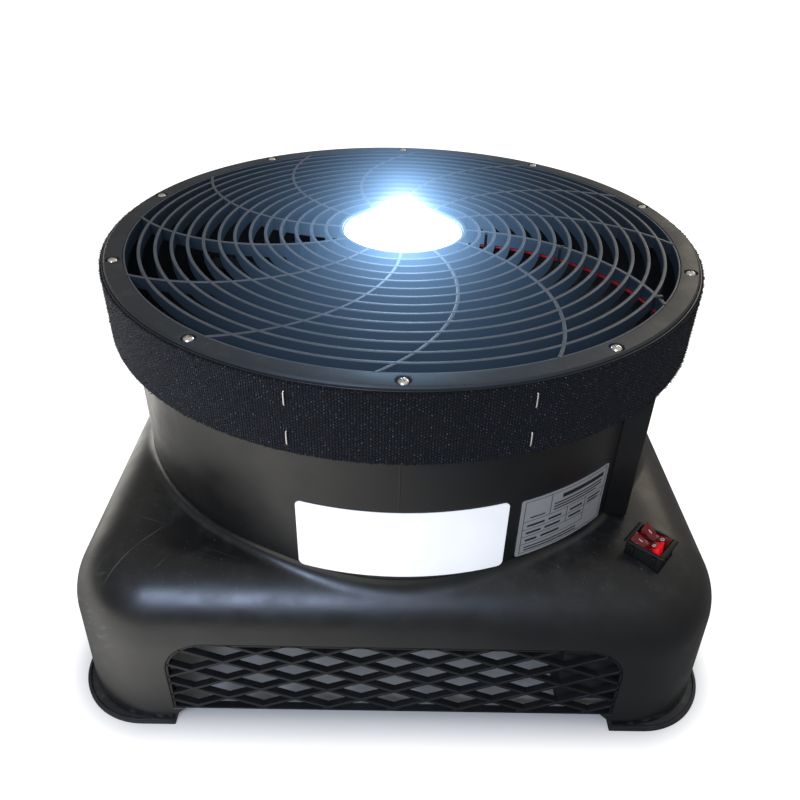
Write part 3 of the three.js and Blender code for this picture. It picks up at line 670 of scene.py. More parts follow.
def lit_lens():
    """Frosted lens over the lamp's light-emitting diodes."""
    paint = Paint("lamp_lens", (0.95, 0.98, 1.0), 0.3)
    x, y, _ = paint.axes()
    flat = paint.node("ShaderNodeCombineXYZ", {0: x, 1: y, 2: 0.0})
    away = paint.node("ShaderNodeVectorMath", {0: flat.outputs[0]}, operation="LENGTH")
    edge = paint.span(away.outputs["Value"], 0.7 * lens_high.x, lens_high.x)
    paint.set("Emission Color", paint.mix(edge, (0.93, 0.98, 1.0), (0.55, 0.82, 1.0)))
    paint.set("Emission Strength", LENS_GLOW)
    paint.raise_by(paint.noise(800, 2), 0.1, 0.0002)
    return paint.material


def wire_skin(name, colour):
    paint = Paint(name, colour, 0.35)
    dark = tuple(part * 0.75 for part in colour)
    paint.set("Base Color", paint.mix(paint.span(paint.noise(120, 3), 0.4, 0.65), colour, dark))
    paint.set("Roughness", paint.span(paint.noise(500, 2), 0.3, 0.7, 0.28, 0.42))
    paint.raise_by(paint.noise(900, 1), 0.1, 0.0001)
    return paint.material


def floor_paint():
    """Studio floor: white to the camera, and to reflections a glow that fades to the right; round
    the base's footprint the glow fades out, which paints a soft shadow of fixed shape there over
    the real shading.
    """
    paint = Paint("studio_floor", (0.86, 0.86, 0.85), 0.75)
    x, y, _ = paint.axes()
    seen = paint.node("ShaderNodeLightPath").outputs["Is Camera Ray"]
    beyond = [paint.math("MAXIMUM", paint.math("SUBTRACT", paint.math("ABSOLUTE", part), 0.18), 0)
              for part in (x, y)]
    beyond = paint.node("ShaderNodeCombineXYZ", {0: beyond[0], 1: beyond[1], 2: 0.0})
    reach = paint.node("ShaderNodeVectorMath", {0: beyond.outputs[0]}, operation="LENGTH")
    # painted shadow: the floor's glow fades out towards the base's footprint, so a grey halo of
    # fixed shape stays round it; inside it the real lighting and shadow show
    outside = paint.span(reach.outputs["Value"], 0.042, 0.1)
    away = paint.node("ShaderNodeVectorMath", {0: paint.place}, operation="LENGTH")
    lift = paint.span(away.outputs["Value"], 0.26, 0.4, 0.93, 1.0)
    shaded = paint.math("MULTIPLY", paint.span(y, -0.32, -0.15),
                        paint.span(y, 0.0, 0.16, 0.45, 0.1))
    mirrored = paint.span(paint.math("ADD", x, shaded), 0.25, -0.4, 0.05, 1.6)
    mottled = paint.mix(paint.span(paint.noise(3, 3), 0.35, 0.65), (0.56, 0.53, 0.48),
                        (0.6, 0.57, 0.52))
    paint.set("Base Color", paint.mix(seen, (0.16, 0.155, 0.145), mottled))
    paint.set("Emission Color", paint.mix(seen, (1, 0.97, 0.9), (1, 1, 1)))
    paint.set("Emission Strength", paint.math("MULTIPLY", outside,
                                              paint.blend(seen, mirrored, lift)))
    return paint.material


LENS_GLOW = 9.0
BASE = base_plastic()
COLLAR = collar_plastic()
INTAKE = plastic("intake_lattice", (0.008, 0.008, 0.0085), 0.5, 0.25, 0.2, 0.15, 0.3).material
FOOT = plastic("foot_plates", (0.012, 0.0125, 0.0135), 0.45, 0.4, 0.3, 0.7).material
BUSH = plastic("bush_nylon", (0.012, 0.012, 0.012), 0.45, 0.2).material
CLAMP = clamp_plastic()
GRILLE = grille_plastic()
LAMP_SHELL = lamp_shell()
SWITCH = plastic("switch_black", (0.004, 0.0045, 0.004), 0.45, 0.15, 0.2, 0.1, 0.3).material
TIE = plastic("tie_nylon", (0.02, 0.02, 0.02), 0.35, 0.1).material
FAN = fan_plastic()
DRIVER = plastic("driver_case", (0.05, 0.05, 0.055), 0.5, 0.2).material
BOX = plastic("switch_box_plastic", (0.012, 0.012, 0.013), 0.5, 0.3, 0.2, 0.4).material
CAPACITOR = plastic("capacitor_can", (0.62, 0.62, 0.59), 0.35, 0.1, 0.05).material
LAMP_BOARD = plastic("lamp_board", (0.75, 0.76, 0.7), 0.5, 0.1, 0.05).material
TAPE = hook_tape()
SCREW = metal("screw_zinc", (0.83, 0.8, 0.74), 0.24, (300, 300, 300))
STAPLE = metal("staple_wire", (0.72, 0.7, 0.66), 0.3, (800, 800, 60))
STEEL = metal("machined_steel", (0.55, 0.55, 0.56), 0.3, (200, 200, 900))
BRACKET = cast_metal("painted_bracket", (0.05, 0.05, 0.055), 0.45, 0.0)
BOLT = metal("bolt_zinc", (0.7, 0.69, 0.66), 0.3, (300, 300, 300))
ALUMINIUM = cast_metal("cast_aluminium", (0.6, 0.6, 0.62), 0.42)
STATOR = cast_metal("varnished_copper", (0.42, 0.17, 0.06), 0.35, 0.8)
# painted light: the white label glows a little so that it looks brighter
WHITE = paper("white_label", (0.95, 0.95, 0.94), 0.4, glow=0.25)
SILVER = paper("silver_label", (0.4, 0.395, 0.39), 0.42, 0.3)
INK = paper("label_ink", (0.003, 0.003, 0.004), 0.75)
MARK = paper("rocker_marks", (0.75, 0.72, 0.7), 0.4)
ROCKER = rocker_plastic()
LENS = lit_lens()
WIRE_RED = wire_skin("wire_red", (0.5, 0.012, 0.015))
WIRE_BLUE = wire_skin("wire_blue", (0.012, 0.02, 0.2))


# ---------------------------------------------------------------- base
def offset_from_core(x, y):
    """Signed distance from the rounded square that the base's big edge rolls round."""
    corner = BASE_CORNER - BASE_EDGE
    straight = BASE_HALF - BASE_EDGE - corner
    qx, qy = np.abs(x) - straight, np.abs(y) - straight
    outside = np.hypot(np.maximum(qx, 0), np.maximum(qy, 0))
    return outside + np.minimum(np.maximum(qx, qy), 0) - corner


def radius_at_offset(turns, offset):
    """The radius along each direction at which that offset is reached."""
    low, high = np.full(turns.shape, 0.05), np.full(turns.shape, 0.4)
    for _ in range(40):
        middle = (low + high) / 2
        inside = offset_from_core(middle * np.sin(turns), middle * np.cos(turns)) < offset
        low, high = np.where(inside, middle, low), np.where(inside, high, middle)
    return (low + high) / 2


def skin_rows(turns, edge, top, inner_radius, steps):
    """Rows of the base's rolled top: (radius, height) from inner_radius out to the wall."""
    start = offset_from_core(inner_radius * np.sin(turns), inner_radius * np.cos(turns))
    rolled = edge * np.arcsin(np.clip(start / edge, -1, 1))
    run = np.where(start > 0, rolled, start)
    rows = []
    for step in range(steps + 1):
        along = run + (edge * math.pi / 2 - run) * step / steps
        angle = np.maximum(along, 0) / edge
        offset = np.where(along > 0, edge * np.sin(angle), along)
        height = top - edge + np.where(along > 0, edge * np.cos(angle), edge)
        radius = radius_at_offset(turns, offset) if step else np.full(turns.shape, inner_radius)
        rows.append((radius, height))
    return rows


def wall_radius(turns, share):
    """The wall's radius; its corners grow squarer from the shoulder (0) to the floor (1)."""
    sine, cosine = np.abs(np.sin(turns)), np.abs(np.cos(turns))
    corner = BASE_CORNER + (BASE_FOOT_CORNER - BASE_CORNER) * share
    inner = BASE_HALF - corner
    flat = BASE_HALF / np.maximum(sine, cosine)
    reach = inner * (sine + cosine)
    round_off = reach + np.sqrt(np.maximum(reach ** 2 - 2 * inner ** 2 + corner ** 2, 0))
    return np.where(flat * np.minimum(sine, cosine) > inner, round_off, flat)


def fillet_rise(radius):
    """How far the hollow fillet beside the collar lifts the base's top."""
    away = np.clip(BASE_FILLET - (radius - SOCKET_IN), 0, BASE_FILLET)
    return BASE_FILLET - np.sqrt(BASE_FILLET ** 2 - away ** 2)


def window_outline(grow=0.0, steps=8):
    """The air intake's outline: square below, round corners above."""
    half, top, corner = WINDOW_HALF + grow, WINDOW_TOP + grow, WINDOW_CORNER + grow
    points = [Vector((-half, WINDOW_LOW - grow)), Vector((half, WINDOW_LOW - grow))]
    for sign in (1, -1):
        for step in range(steps + 1):
            turn = math.pi / 2 * step / steps
            across = math.cos(turn) if sign > 0 else math.sin(turn)
            rise = math.sin(turn) if sign > 0 else math.cos(turn)
            points.append(Vector((sign * (half - corner + corner * across),
                                  top - corner + corner * rise)))
    return points


def window_cutter(turn):
    """Window-shaped tool whose outer end flares, so that the window's edge is rounded."""
    edge = 0.9 * MM
    loops = []
    for step in range(5):
        angle = math.pi / 2 * step / 4
        grow, depth = edge * (1 - math.cos(angle)), edge * (1 - math.sin(angle))
        loops.append((BASE_HALF - depth, grow))
    loops = [(BASE_HALF - 15 * MM, 0.0)] + loops + [(BASE_HALF + 5 * MM, edge)]
    shapes = [upright(window_outline(grow), -y) for y, grow in loops]
    tool = loft("window_tool", shapes, BASE, False, True)
    return moved(tool, spin(turn))


def foot_notch_cutter(turn):
    """Clears the wall below the intake, between two feet."""
    chamfer = 8 * MM
    half, top = WINDOW_HALF, WINDOW_LOW
    corners = [(-half, -0.01, 0), (half, -0.01, 0), (half, top - chamfer, 2 * MM),
               (half - chamfer, top + 0.01 * MM, 2 * MM),
               (chamfer - half, top + 0.01 * MM, 2 * MM), (-half, top - chamfer, 2 * MM)]
    profile = rounded(corners, 3)
    shapes = [upright(profile, -y) for y in (BASE_HALF - 15 * MM, BASE_HALF + 5 * MM)]
    return moved(loft("notch_tool", shapes, BASE, False, True), spin(turn))


def base_shell():
    count = 480
    turns = 2 * np.pi * np.arange(count) / count
    rows = []
    fillet = [SOCKET_IN + BASE_FILLET * share for share in (0, 0.06, 0.15, 0.3, 0.5, 0.75)]
    for radius in fillet:
        ring = np.full(turns.shape, radius)
        offset = offset_from_core(ring * np.sin(turns), ring * np.cos(turns))
        drop = BASE_EDGE - np.sqrt(BASE_EDGE ** 2 - np.clip(offset, 0, BASE_EDGE) ** 2)
        rows.append((ring, BASE_TOP - drop + fillet_rise(ring)))
    for radius, height in skin_rows(turns, BASE_EDGE, BASE_TOP, SOCKET_IN + BASE_FILLET, 24):
        rows.append((radius, height))
    shoulder = BASE_TOP - BASE_EDGE
    for share in (0.12, 0.3, 0.5, 0.7, 0.88, 0.99):
        wall = wall_radius(turns, share)
        rows.append((wall, np.full(turns.shape, shoulder + (BASE_BOTTOM - shoulder) * share)))
    inside_edge = BASE_EDGE - BASE_WALL
    for radius, share in ((wall_radius(turns, 1.0) - 0.5 * MM, 1.0),
                          (wall_radius(turns, 1.0) - BASE_WALL, 1.0),
                          (wall_radius(turns, 0.6) - BASE_WALL, 0.6),
                          (wall_radius(turns, 0.3) - BASE_WALL, 0.3)):
        rows.append((radius, np.full(turns.shape, shoulder + (BASE_BOTTOM - shoulder) * share)))
    under = skin_rows(turns, inside_edge, BASE_TOP - BASE_WALL, SOCKET_OUT, 14)
    rows += under[::-1]
    ledge_low = LEDGE_TOP - 3 * MM
    for radius, height in ((SOCKET_OUT, ledge_low), (LEDGE_IN, ledge_low), (LEDGE_IN, LEDGE_TOP),
                           (SOCKET_IN, LEDGE_TOP)):
        rows.append((np.full(turns.shape, radius), np.full(turns.shape, height)))
    loops = [[Vector((r * math.sin(t), -r * math.cos(t), z)) for r, z, t in
              zip(radius, height, turns)] for radius, height in rows]
    shell = loft("base_shell", loops, BASE)
    tools = [window_cutter(turn) for turn in (0, 90, 180, 270)]
    tools += [foot_notch_cutter(turn) for turn in (0, 90, 180, 270)]
    hole = box("switch_tool", (-13.8 * MM, -11.8 * MM, 0.11), (13.8 * MM, 11.8 * MM, 0.14), BASE)
    place = Matrix.Translation((SWITCH_MIDDLE.x, SWITCH_MIDDLE.y, 0))
    tools.append(moved(hole, place @ Matrix.Rotation(SWITCH_TURN, 4, "Z")))
    bush_low, bush_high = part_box("cable_bush")
    bush = plug("bush_tool", 7.5 * MM, 50 * MM, 80 * MM, BASE, 32)
    lean = spin(45) @ Matrix.Rotation(math.radians(90), 4, "Y")
    middle = (bush_low + bush_high) / 2
    corner = (BASE_HALF - BASE_CORNER) * Vector((1, 1, 0))
    tools.append(moved(bush, Matrix.Translation((corner.x, corner.y, middle.z)) @ lean))
    return settle(cut(shell, *tools), CHASSIS, "housing_plastic", "base_housing")


def intake_panel(side, turn):
    """Diamond lattice in one wall, inside a thin rim."""
    slope = math.atan2(DIAMOND_HEIGHT, DIAMOND_WIDTH)
    depth, width = 5.2 * MM, 2.3 * MM
    front, back = -LATTICE_FACE, -(LATTICE_FACE - depth)
    section = rounded([(-width / 2, back, 0), (width / 2, back, 0), (width / 2, front, 0.5 * MM),
                       (-width / 2, front, 0.5 * MM)], 3)
    strands = []
    for lean in (-1, 1):
        for column in range(-5, 6):
            along = Vector((math.cos(slope), 0, lean * math.sin(slope)))
            across = Vector((-lean * math.sin(slope), 0, math.cos(slope)))
            middle = Vector((column * DIAMOND_WIDTH, 0, KNOT_HEIGHT))
            loops = [[middle + along * reach + across * p.x + Vector((0, p.y, 0))
                      for p in section] for reach in (-0.3, 0.3)]
            strands.append(loft("strand", loops, INTAKE, False, True))
    lattice = joined("lattice", strands)
    keep = [upright(window_outline(-0.6 * MM), y) for y in (front - 1 * MM, back + 1 * MM)]
    keeper = loft("keeper", keep, INTAKE, False, True)
    boolean = lattice.modifiers.new("keep", "BOOLEAN")
    boolean.operation, boolean.object, boolean.solver = "INTERSECT", keeper, "EXACT"
    boolean.use_self = True
    applied(lattice)
    bpy.data.objects.remove(keeper)
    rim = [upright(window_outline(-inset * MM), y)
           for y, inset in ((front, 0.3), (back, 0.3), (back, 1.9), (front, 1.9))]
    made = joined(f"lattice_{side}", [lattice, loft("rim", rim, INTAKE)])
    moved(made, spin(turn))
    return settle(made, CHASSIS, "intake_plastic", f"intake_mesh_{side}")


def foot(corner, turn):
    """Corner foot: a flat plate with a rounded edge and a low ridge along its outside."""
    def arc(middle, radius, start, end, steps=24):
        return [Vector((middle + radius * math.cos(start + (end - start) * i / steps),
                        middle + radius * math.sin(start + (end - start) * i / steps)))
                for i in range(steps + 1)]
    outer_middle = FOOT_HALF - FOOT_CORNER
    inner_half = BASE_HALF - 15 * MM
    inner_radius = 46 * MM
    points = [Vector((WINDOW_HALF, inner_half))]
    points += arc(inner_half - inner_radius, inner_radius, math.pi / 2, 0)
    points += [Vector((inner_half, WINDOW_HALF)), Vector((FOOT_HALF, WINDOW_HALF))]
    points += arc(outer_middle, FOOT_CORNER, 0, math.pi / 2)
    points += [Vector((WINDOW_HALF, FOOT_HALF))]
    plate = prism("plate", [tuple(p) for p in points], 0, FOOT_THICK, FOOT)
    bevelled(plate, 0.7 * MM, 2, 50)
    near, outset, inset = WINDOW_HALF + 1.5 * MM, 0.8 * MM, 2.8 * MM
    lip = [Vector((near, FOOT_HALF - outset))]
    lip += arc(outer_middle, FOOT_CORNER - outset, math.pi / 2, 0)
    lip += [Vector((FOOT_HALF - outset, near)), Vector((FOOT_HALF - inset, near))]
    lip += arc(outer_middle, FOOT_CORNER - inset, 0, math.pi / 2)
    lip += [Vector((near, FOOT_HALF - inset))]
    ridge = prism("ridge", [tuple(p) for p in reversed(lip)], FOOT_THICK - 0.5 * MM,
                  FOOT_THICK + 1.1 * MM, FOOT)
    bevelled(ridge, 0.5 * MM, 2, 50)
    made = joined(f"foot_{corner}", [plate, ridge])
    moved(made, spin(turn))
    return settle(made, CHASSIS, "foot_plastic", f"foot_plate_{corner}")


def mains_bush():
    low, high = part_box("cable_bush")
    reach = BASE_CORNER
    profile = [(4.5, reach / MM - 8, 0.5), (9, reach / MM - 8, 0.8), (9, reach / MM - 4.6, 0.4),
               (7.2, reach / MM - 4.6, 0), (7.2, reach / MM + 0.6, 0),
               (10.5, reach / MM + 0.6, 0.3), (10.5, reach / MM + 2, 0.8),
               (8.5, reach / MM + 3.4, 0.8), (4.5, reach / MM + 3.4, 1)]
    made = lathe("mains_bush", [(r * MM, z * MM, f * MM) for r, z, f in profile], BUSH, 48)
    corner = BASE_HALF - BASE_CORNER
    lean = spin(45) @ Matrix.Rotation(math.radians(90), 4, "Y")
    moved(made, Matrix.Translation((corner, corner, (low.z + high.z) / 2)) @ lean)
    return settle(made, CHASSIS, "bush_plastic", "cable_bush")


# ---------------------------------------------------------------- outlet
def collar():
    skirt = RIM_OUT - 3.2 * MM
    ledge = CLAMP_BOTTOM - 0.3 * MM
    gap_in = CLAMP_OUT + 0.3 * MM
    seat = grille_high.x + 0.3 * MM
    turn_over, shelf = 280 * MM, 286 * MM
    profile = [(COLLAR_IN, COLLAR_LOW, 0.3), (COLLAR_OUT, COLLAR_LOW, 0.3),
               (COLLAR_OUT, turn_over, 0), (skirt, turn_over, 0), (skirt, RIM_BOTTOM, 0.8),
               (RIM_OUT, RIM_BOTTOM, 0.8), (RIM_OUT, RIM_TOP, 1.0), (gap_in, RIM_TOP, 0.4),
               (gap_in, ledge, 0), (seat, ledge, 0.2), (seat, shelf, 0),
               (COLLAR_IN, shelf, 0.3)]
    made = lathe("collar", [(r, z, f * MM) for r, z, f in profile], COLLAR, 480)
    hole = plug("wire_tool", 5 * MM, 205 * MM, 222 * MM, COLLAR, 24)
    lay = Matrix.Rotation(math.radians(90), 4, "X")
    moved(hole, Matrix.Translation((0, 0, WIRE_HOLE)) @ spin(WIRE_DROP) @ lay)
    return settle(cut(made, hole), CHASSIS, "housing_plastic", "outlet_collar")


def screw_place(i):
    return around(SCREW_CIRCLE, i * 360 / SCREW_COUNT)


def clamp():
    chamfer = 1.3 * MM
    profile = [(CLAMP_IN, CLAMP_BOTTOM, 0), (CLAMP_OUT, CLAMP_BOTTOM, 0),
               (CLAMP_OUT, TOP - chamfer, 0.5 * MM), (CLAMP_OUT - chamfer, TOP, 0.5 * MM),
               (CLAMP_IN, TOP, 0.5 * MM)]
    made = lathe("clamp", profile, CLAMP, 480)
    tools = []
    for i in range(SCREW_COUNT):
        sink = cup("sink_tool", [(0, CLAMP_BOTTOM - MM), (2.5 * MM, CLAMP_BOTTOM - MM),
                                 (2.5 * MM, TOP - 2.4 * MM), (4.9 * MM, TOP - 2.4 * MM),
                                 (4.9 * MM, TOP - 0.3 * MM), (5.4 * MM, TOP + 0.1 * MM),
                                 (5.4 * MM, TOP + MM), (0, TOP + MM)], CLAMP, 32)
        tools.append(moved(sink, Matrix.Translation(screw_place(i))))
    return settle(cut(made, *tools), CHASSIS, "ring_plastic", "clamp_ring")


def cross_screws():
    """Pan-head screws with a cross recess, each turned its own way."""
    head = 3.9 * MM
    profile = [(0, 283.6 * MM), (2 * MM, 283.6 * MM), (2 * MM, TOP - 2.1 * MM),
               (head, TOP - 2.1 * MM), (head, TOP - 1.5 * MM)]
    for step in range(1, 7):
        turn = math.pi / 2 * step / 6
        profile.append((head * math.cos(turn) * 0.97, TOP - 1.5 * MM
                        + 2.4 * MM * math.sin(turn)))
    profile[-1] = (0, TOP + 0.9 * MM)
    screw = cup("screw", profile, SCREW, 40)
    chance = random.Random(3)
    arms = []
    for turn in (0, 90):
        arm = box("arm", (-2.1 * MM, -0.42 * MM, TOP - 0.5 * MM),
                  (2.1 * MM, 0.42 * MM, TOP + 2 * MM), SCREW)
        arms.append(moved(arm, spin(turn)))
    cut(screw, *arms)
    for i in range(SCREW_COUNT):
        name = f"ring_screw_{i + 1:02d}"
        place = Matrix.Translation(screw_place(i))
        made = copy_of(screw, f"cross_{name}", place @ spin(chance.uniform(0, 90)))
        settle(made, CHASSIS, "screw_zinc", name)
    bpy.data.objects.remove(screw)


def dome(radius):
    """Height of the grille bars' tops: a slight crown, highest beside the lamp."""
    share = (radius - HUB_RING) / (CLAMP_IN - HUB_RING)
    return grille_high.z - 0.5 * MM + 2.0 * MM * (1 - share)


def bar_section(radius):
    """Upright slat: rounded on top and a little narrower below."""
    top, low, half = dome(radius), grille_low.z + 3.0 * MM, BAR_WIDTH / 2
    return rounded([(-0.75 * half, low, 0.2 * MM), (0.75 * half, low, 0.2 * MM),
                    (half, top, 0.55 * MM), (-half, top, 0.55 * MM)], 3)


def spoke_angle(radius, bow=SPOKE_BOW):
    """Degrees that a spoke has turned through at a radius, from where it meets the ring."""
    def lean(size, arc):
        return math.acos((size ** 2 + SPOKE_CENTRE ** 2 - arc ** 2) / (2 * size * SPOKE_CENTRE))
    return math.degrees(lean(radius, bow) - lean(CLAMP_IN, SPOKE_BOW))


def grille():
    parts = []
    for level in range(RING_COUNT):
        radius = HUB_RING + level * RING_PITCH
        section = bar_section(radius)
        loops = []
        for i in range(FINE):
            turn = 2 * math.pi * i / FINE
            loops.append([Vector(((radius + p.x) * math.sin(turn),
                                  -(radius + p.x) * math.cos(turn), p.y)) for p in section])
        parts.append(loft("bar", loops, GRILLE))
    reach = CLAMP_IN - 0.3 * MM - HUB_RING
    for spoke in range(SPOKE_COUNT):
        start = FIRST_SPOKE + spoke * 360 / SPOKE_COUNT
        loops = []
        steps = 44
        for i in range(steps + 1):
            radius = HUB_RING + reach * i / steps
            here = around(radius, start + spoke_angle(radius))
            ahead = around(radius + 0.1 * MM, start + spoke_angle(radius + 0.1 * MM))
            side = (ahead - here).normalized().cross(Vector((0, 0, 1)))
            loops.append([here + side * p.x + Vector((0, 0, p.y - 0.15 * MM))
                          for p in bar_section(radius)])
        parts.append(loft("spoke", loops, GRILLE, False, True))
    rim_in, rim_out = CLAMP_IN - 1.6 * MM, grille_high.x
    rim = [(rim_in, grille_low.z, 0.3 * MM), (rim_out, grille_low.z, 0.3 * MM),
           (rim_out, CLAMP_BOTTOM - 0.6 * MM, 0), (CLAMP_IN - 0.3 * MM, CLAMP_BOTTOM - 0.6 * MM, 0),
           (CLAMP_IN - 0.3 * MM, TOP - 0.4 * MM, 0.3 * MM), (rim_in, TOP - 0.4 * MM, 0.3 * MM)]
    parts.append(lathe("rim", rim, GRILLE))
    return settle(joined("grille", parts), CHASSIS, "grille_plastic", "outlet_grille")


def hook_band():
    """Hook tape round the rim: a thin woven strip and its pile, closed into a ring."""
    inner, outer = RIM_OUT + 0.25 * MM, BAND_OUT - 0.5 * MM
    profile = [(inner, band_low.z, 0.2), (outer - 0.2 * MM, band_low.z, 0.5),
               (outer, band_low.z + 1.2 * MM, 0.4), (outer, band_high.z - 1.2 * MM, 0.4),
               (outer - 0.2 * MM, band_high.z, 0.5), (inner, band_high.z, 0.2)]
    made = lathe("hook_tape_band", [(r, z, f * MM) for r, z, f in profile], TAPE, 480)
    settle(made, CHASSIS, "hook_fabric", "hook_band")
    pile = hook_pile(outer)
    return made


def hook_pile(radius):
    """Loose scatter of the tape's stiff hooks, thicker at its cut edges."""
    chance = random.Random(5)
    points, faces = [], []
    width, height = 0.16 * MM, 1.0 * MM
    for i in range(HOOK_COUNT):
        edge = i % 4 == 0
        z = chance.uniform(band_low.z + 0.3 * MM, band_high.z - 0.3 * MM)
        if edge:
            z = band_low.z + 0.3 * MM if chance.random() < 0.5 else band_high.z - 0.4 * MM
        turn = chance.uniform(0, 360)
        lean_side, lean_up = chance.uniform(-0.5, 0.5), chance.uniform(-0.6, 0.6)
        out = around(1, turn)
        side = Vector((-out.y, out.x, 0))
        up = Vector((0, 0, 1))
        foot_point = around(radius - 0.1 * MM, turn, z)
        tall = height * chance.uniform(0.6, 1.15)
        middle = foot_point + out * tall * 0.8 + side * lean_side * tall * 0.3
        tip = foot_point + out * tall + (side * lean_side + up * lean_up) * tall
        start = len(points)
        for place, size in ((foot_point, width), (middle, width * 0.8)):
            points.extend([place + side * size, place + up * size, place - side * size
                           - up * size])
        points.append(tip)
        for a, b in ((0, 1), (1, 2), (2, 0)):
            faces.append([start + a, start + b, start + b + 3, start + a + 3])
            faces.append([start + a + 3, start + b + 3, start + 6])
        faces.append([start + 2, start + 1, start])
    pile = piece("hook_pile", points, faces, TAPE, 80)
    return settle(pile, CHASSIS, "hook_fabric")


def staples():
    """Bent wire staples through the tape, their crowns upright."""
    wire = circle(0.55 * MM, 10)
    for node in ("left_upper", "left_lower", "right_upper", "right_lower"):
        low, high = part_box(f"band_staple_{node}")
        middle = (low + high) / 2
        turn = math.degrees(math.atan2(middle.x, -middle.y))
        half = (high.z - low.z) / 2 - 0.55 * MM
        out = BAND_OUT + 0.55 * MM
        path = [around(BAND_OUT - 1.2 * MM, turn, middle.z - half),
                around(out - 0.5 * MM, turn, middle.z - half),
                around(out, turn, middle.z - half + 0.7 * MM),
                around(out + 0.15 * MM, turn, middle.z),
                around(out, turn, middle.z + half - 0.7 * MM),
                around(out - 0.5 * MM, turn, middle.z + half),
                around(BAND_OUT - 1.2 * MM, turn, middle.z + half)]
        made = sweep(f"staple_{node}", curve_through(path, 4), wire, STAPLE)
        settle(made, CHASSIS, "staple_wire", f"band_staple_{node}")


# ---------------------------------------------------------------- labels and wire cover
def curved_patch(name, angles, heights, radius, thick, corner, material):
    """A thin rounded rectangle wrapped on a cylinder: angles in degrees, heights in metres."""
    (start, end), (low, high) = angles, heights
    length = math.radians(end - start) * radius
    stops = {0.0, length}
    for i in range(9):
        bend = corner * (1 - math.cos(math.pi / 2 * i / 8))
        stops |= {bend, length - bend}
    columns = max(2, int(length / (2.5 * MM)))
    stops |= {length * i / columns for i in range(columns + 1)}
    ordered = sorted(stops)
    kept = [ordered[0]] + [b for a, b in zip(ordered, ordered[1:]) if b - a > 0.01 * MM]
    loops = []
    for along in kept:
        inset = max(corner - along, corner - (length - along), 0.0)
        cutback = corner - math.sqrt(max(corner ** 2 - inset ** 2, 0.0))
        cutback = min(cutback, (high - low) / 2 - 0.01 * MM)
        turn = start + math.degrees(along / radius)
        loops.append([around(r, turn, z) for r, z in ((radius, low + cutback),
                      (radius + thick, low + cutback), (radius + thick, high - cutback),
                      (radius, high - cutback))])
    return loft(name, loops, material, False, True)


def label_span(node):
    """The angles and heights that a label's node covers."""
    low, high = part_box(node)
    points = [vertex.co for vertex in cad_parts[node].data.vertices]
    turns = [math.degrees(math.atan2(point.x, -point.y)) for point in points]
    return (min(turns), max(turns)), (low.z, high.z)


def labels():
    skin = COLLAR_OUT + 0.15 * MM
    angles, heights = label_span("name_plate")
    plate = curved_patch("blank_plate", angles, heights, skin, 0.55 * MM, 4 * MM, WHITE)
    settle(plate, CHASSIS, "white_label", "name_plate")
    angles, heights = label_span("rating_label")
    label = curved_patch("rating_plate", angles, heights, skin, 0.5 * MM, 2 * MM, SILVER)
    settle(label, CHASSIS, "silver_label", "rating_label")
    face = skin + 0.5 * MM
    wide = math.radians(angles[1] - angles[0]) * face
    tall = heights[1] - heights[0]
    bars = []

    def bar(x0, x1, y0, y1):
        """An inked rule or blank bar, in shares of the label's width and height."""
        turns = [angles[0] + math.degrees(share * wide / face) for share in (x0, x1)]
        levels = [heights[0] + share * tall for share in (y0, y1)]
        bars.append(curved_patch("ink", turns, levels, face, 0.06 * MM, 0.01 * MM, INK))

    rule, left, right, low, high = 0.007, 0.035, 0.965, 0.04, 0.96
    for y in (low, high):
        bar(left, right, y, y + rule)
    for x in (left, right):
        bar(x, x + rule * 0.8, low, high + rule)
    levels = (0.2, 0.335, 0.465, 0.61)
    for y in levels:
        bar(left, 0.72 if y < 0.4 else right, y, y + rule)
    bar(0.3, 0.306, 0.61, high)
    bar(0.5, 0.506, 0.335, 0.61)
    bar(0.72, 0.726, 0.2, 0.61)
    bar(0.42, 0.93, 0.83, 0.9)
    for y in (0.76, 0.71, 0.66):
        bar(0.34, 0.92 - 0.07 * (y < 0.7), y, y + 0.022)
    bar(0.1, 0.25, 0.66, 0.68)
    for y in (0.125, 0.075):
        bar(0.08, 0.66, y, y + 0.022)
    for row, y in enumerate((0.245, 0.38, 0.51)):
        bar(0.08, 0.2 + 0.03 * row, y, y + 0.035)
        bar(0.24 + 0.03 * row, 0.44, y, y + 0.035)
        if row:
            bar(0.54, 0.69, y, y + 0.035)
    bar(0.76, 0.93, 0.53, 0.56)
    bar(0.76, 0.9, 0.48, 0.505)
    settle(joined("rating_print", bars), CHASSIS, "silver_label")


def wire_cover():
    """Square cover down the collar's right front, scribed to its curve."""
    low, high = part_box("conduit_cover")
    wall = 2.5 * MM
    outer = prism("wire_cover", [(0.12, low.y), (high.x, low.y), (high.x, high.y),
                                 (0.12, high.y)], low.z, high.z, COLLAR)
    bevelled(outer, 1.6 * MM, 3, 50)
    inner = box("inner_tool", (0.11, low.y + wall, low.z - MM),
                (high.x - wall, high.y + 0.02, high.z - wall), COLLAR)
    tube = plug("tube_tool", SOCKET_IN, low.z - MM, high.z + MM, COLLAR, 480)
    return settle(cut(outer, inner, tube), CHASSIS, "housing_plastic", "conduit_cover")


# ---------------------------------------------------------------- lamp
UNDER_GRILLE = 288.9 * MM         # top of the lamp housing's flange
WIRE_SPOKE = FIRST_SPOKE + 2 * 360 / SPOKE_COUNT    # angle of the spoke that carries the wires
WIRE_RADIUS = 1.0 * MM
WIRE_LEVEL = UNDER_GRILLE - WIRE_RADIUS


def turned(name, corners, material, segments=120):
    """A solid of (radius, height, rounding) in millimetres that starts and ends on the axis."""
    profile = rounded([(r * MM, z * MM, f * MM) for r, z, f in corners], 4)
    return cup(name, [(p.x, p.y) for p in profile], material, segments)


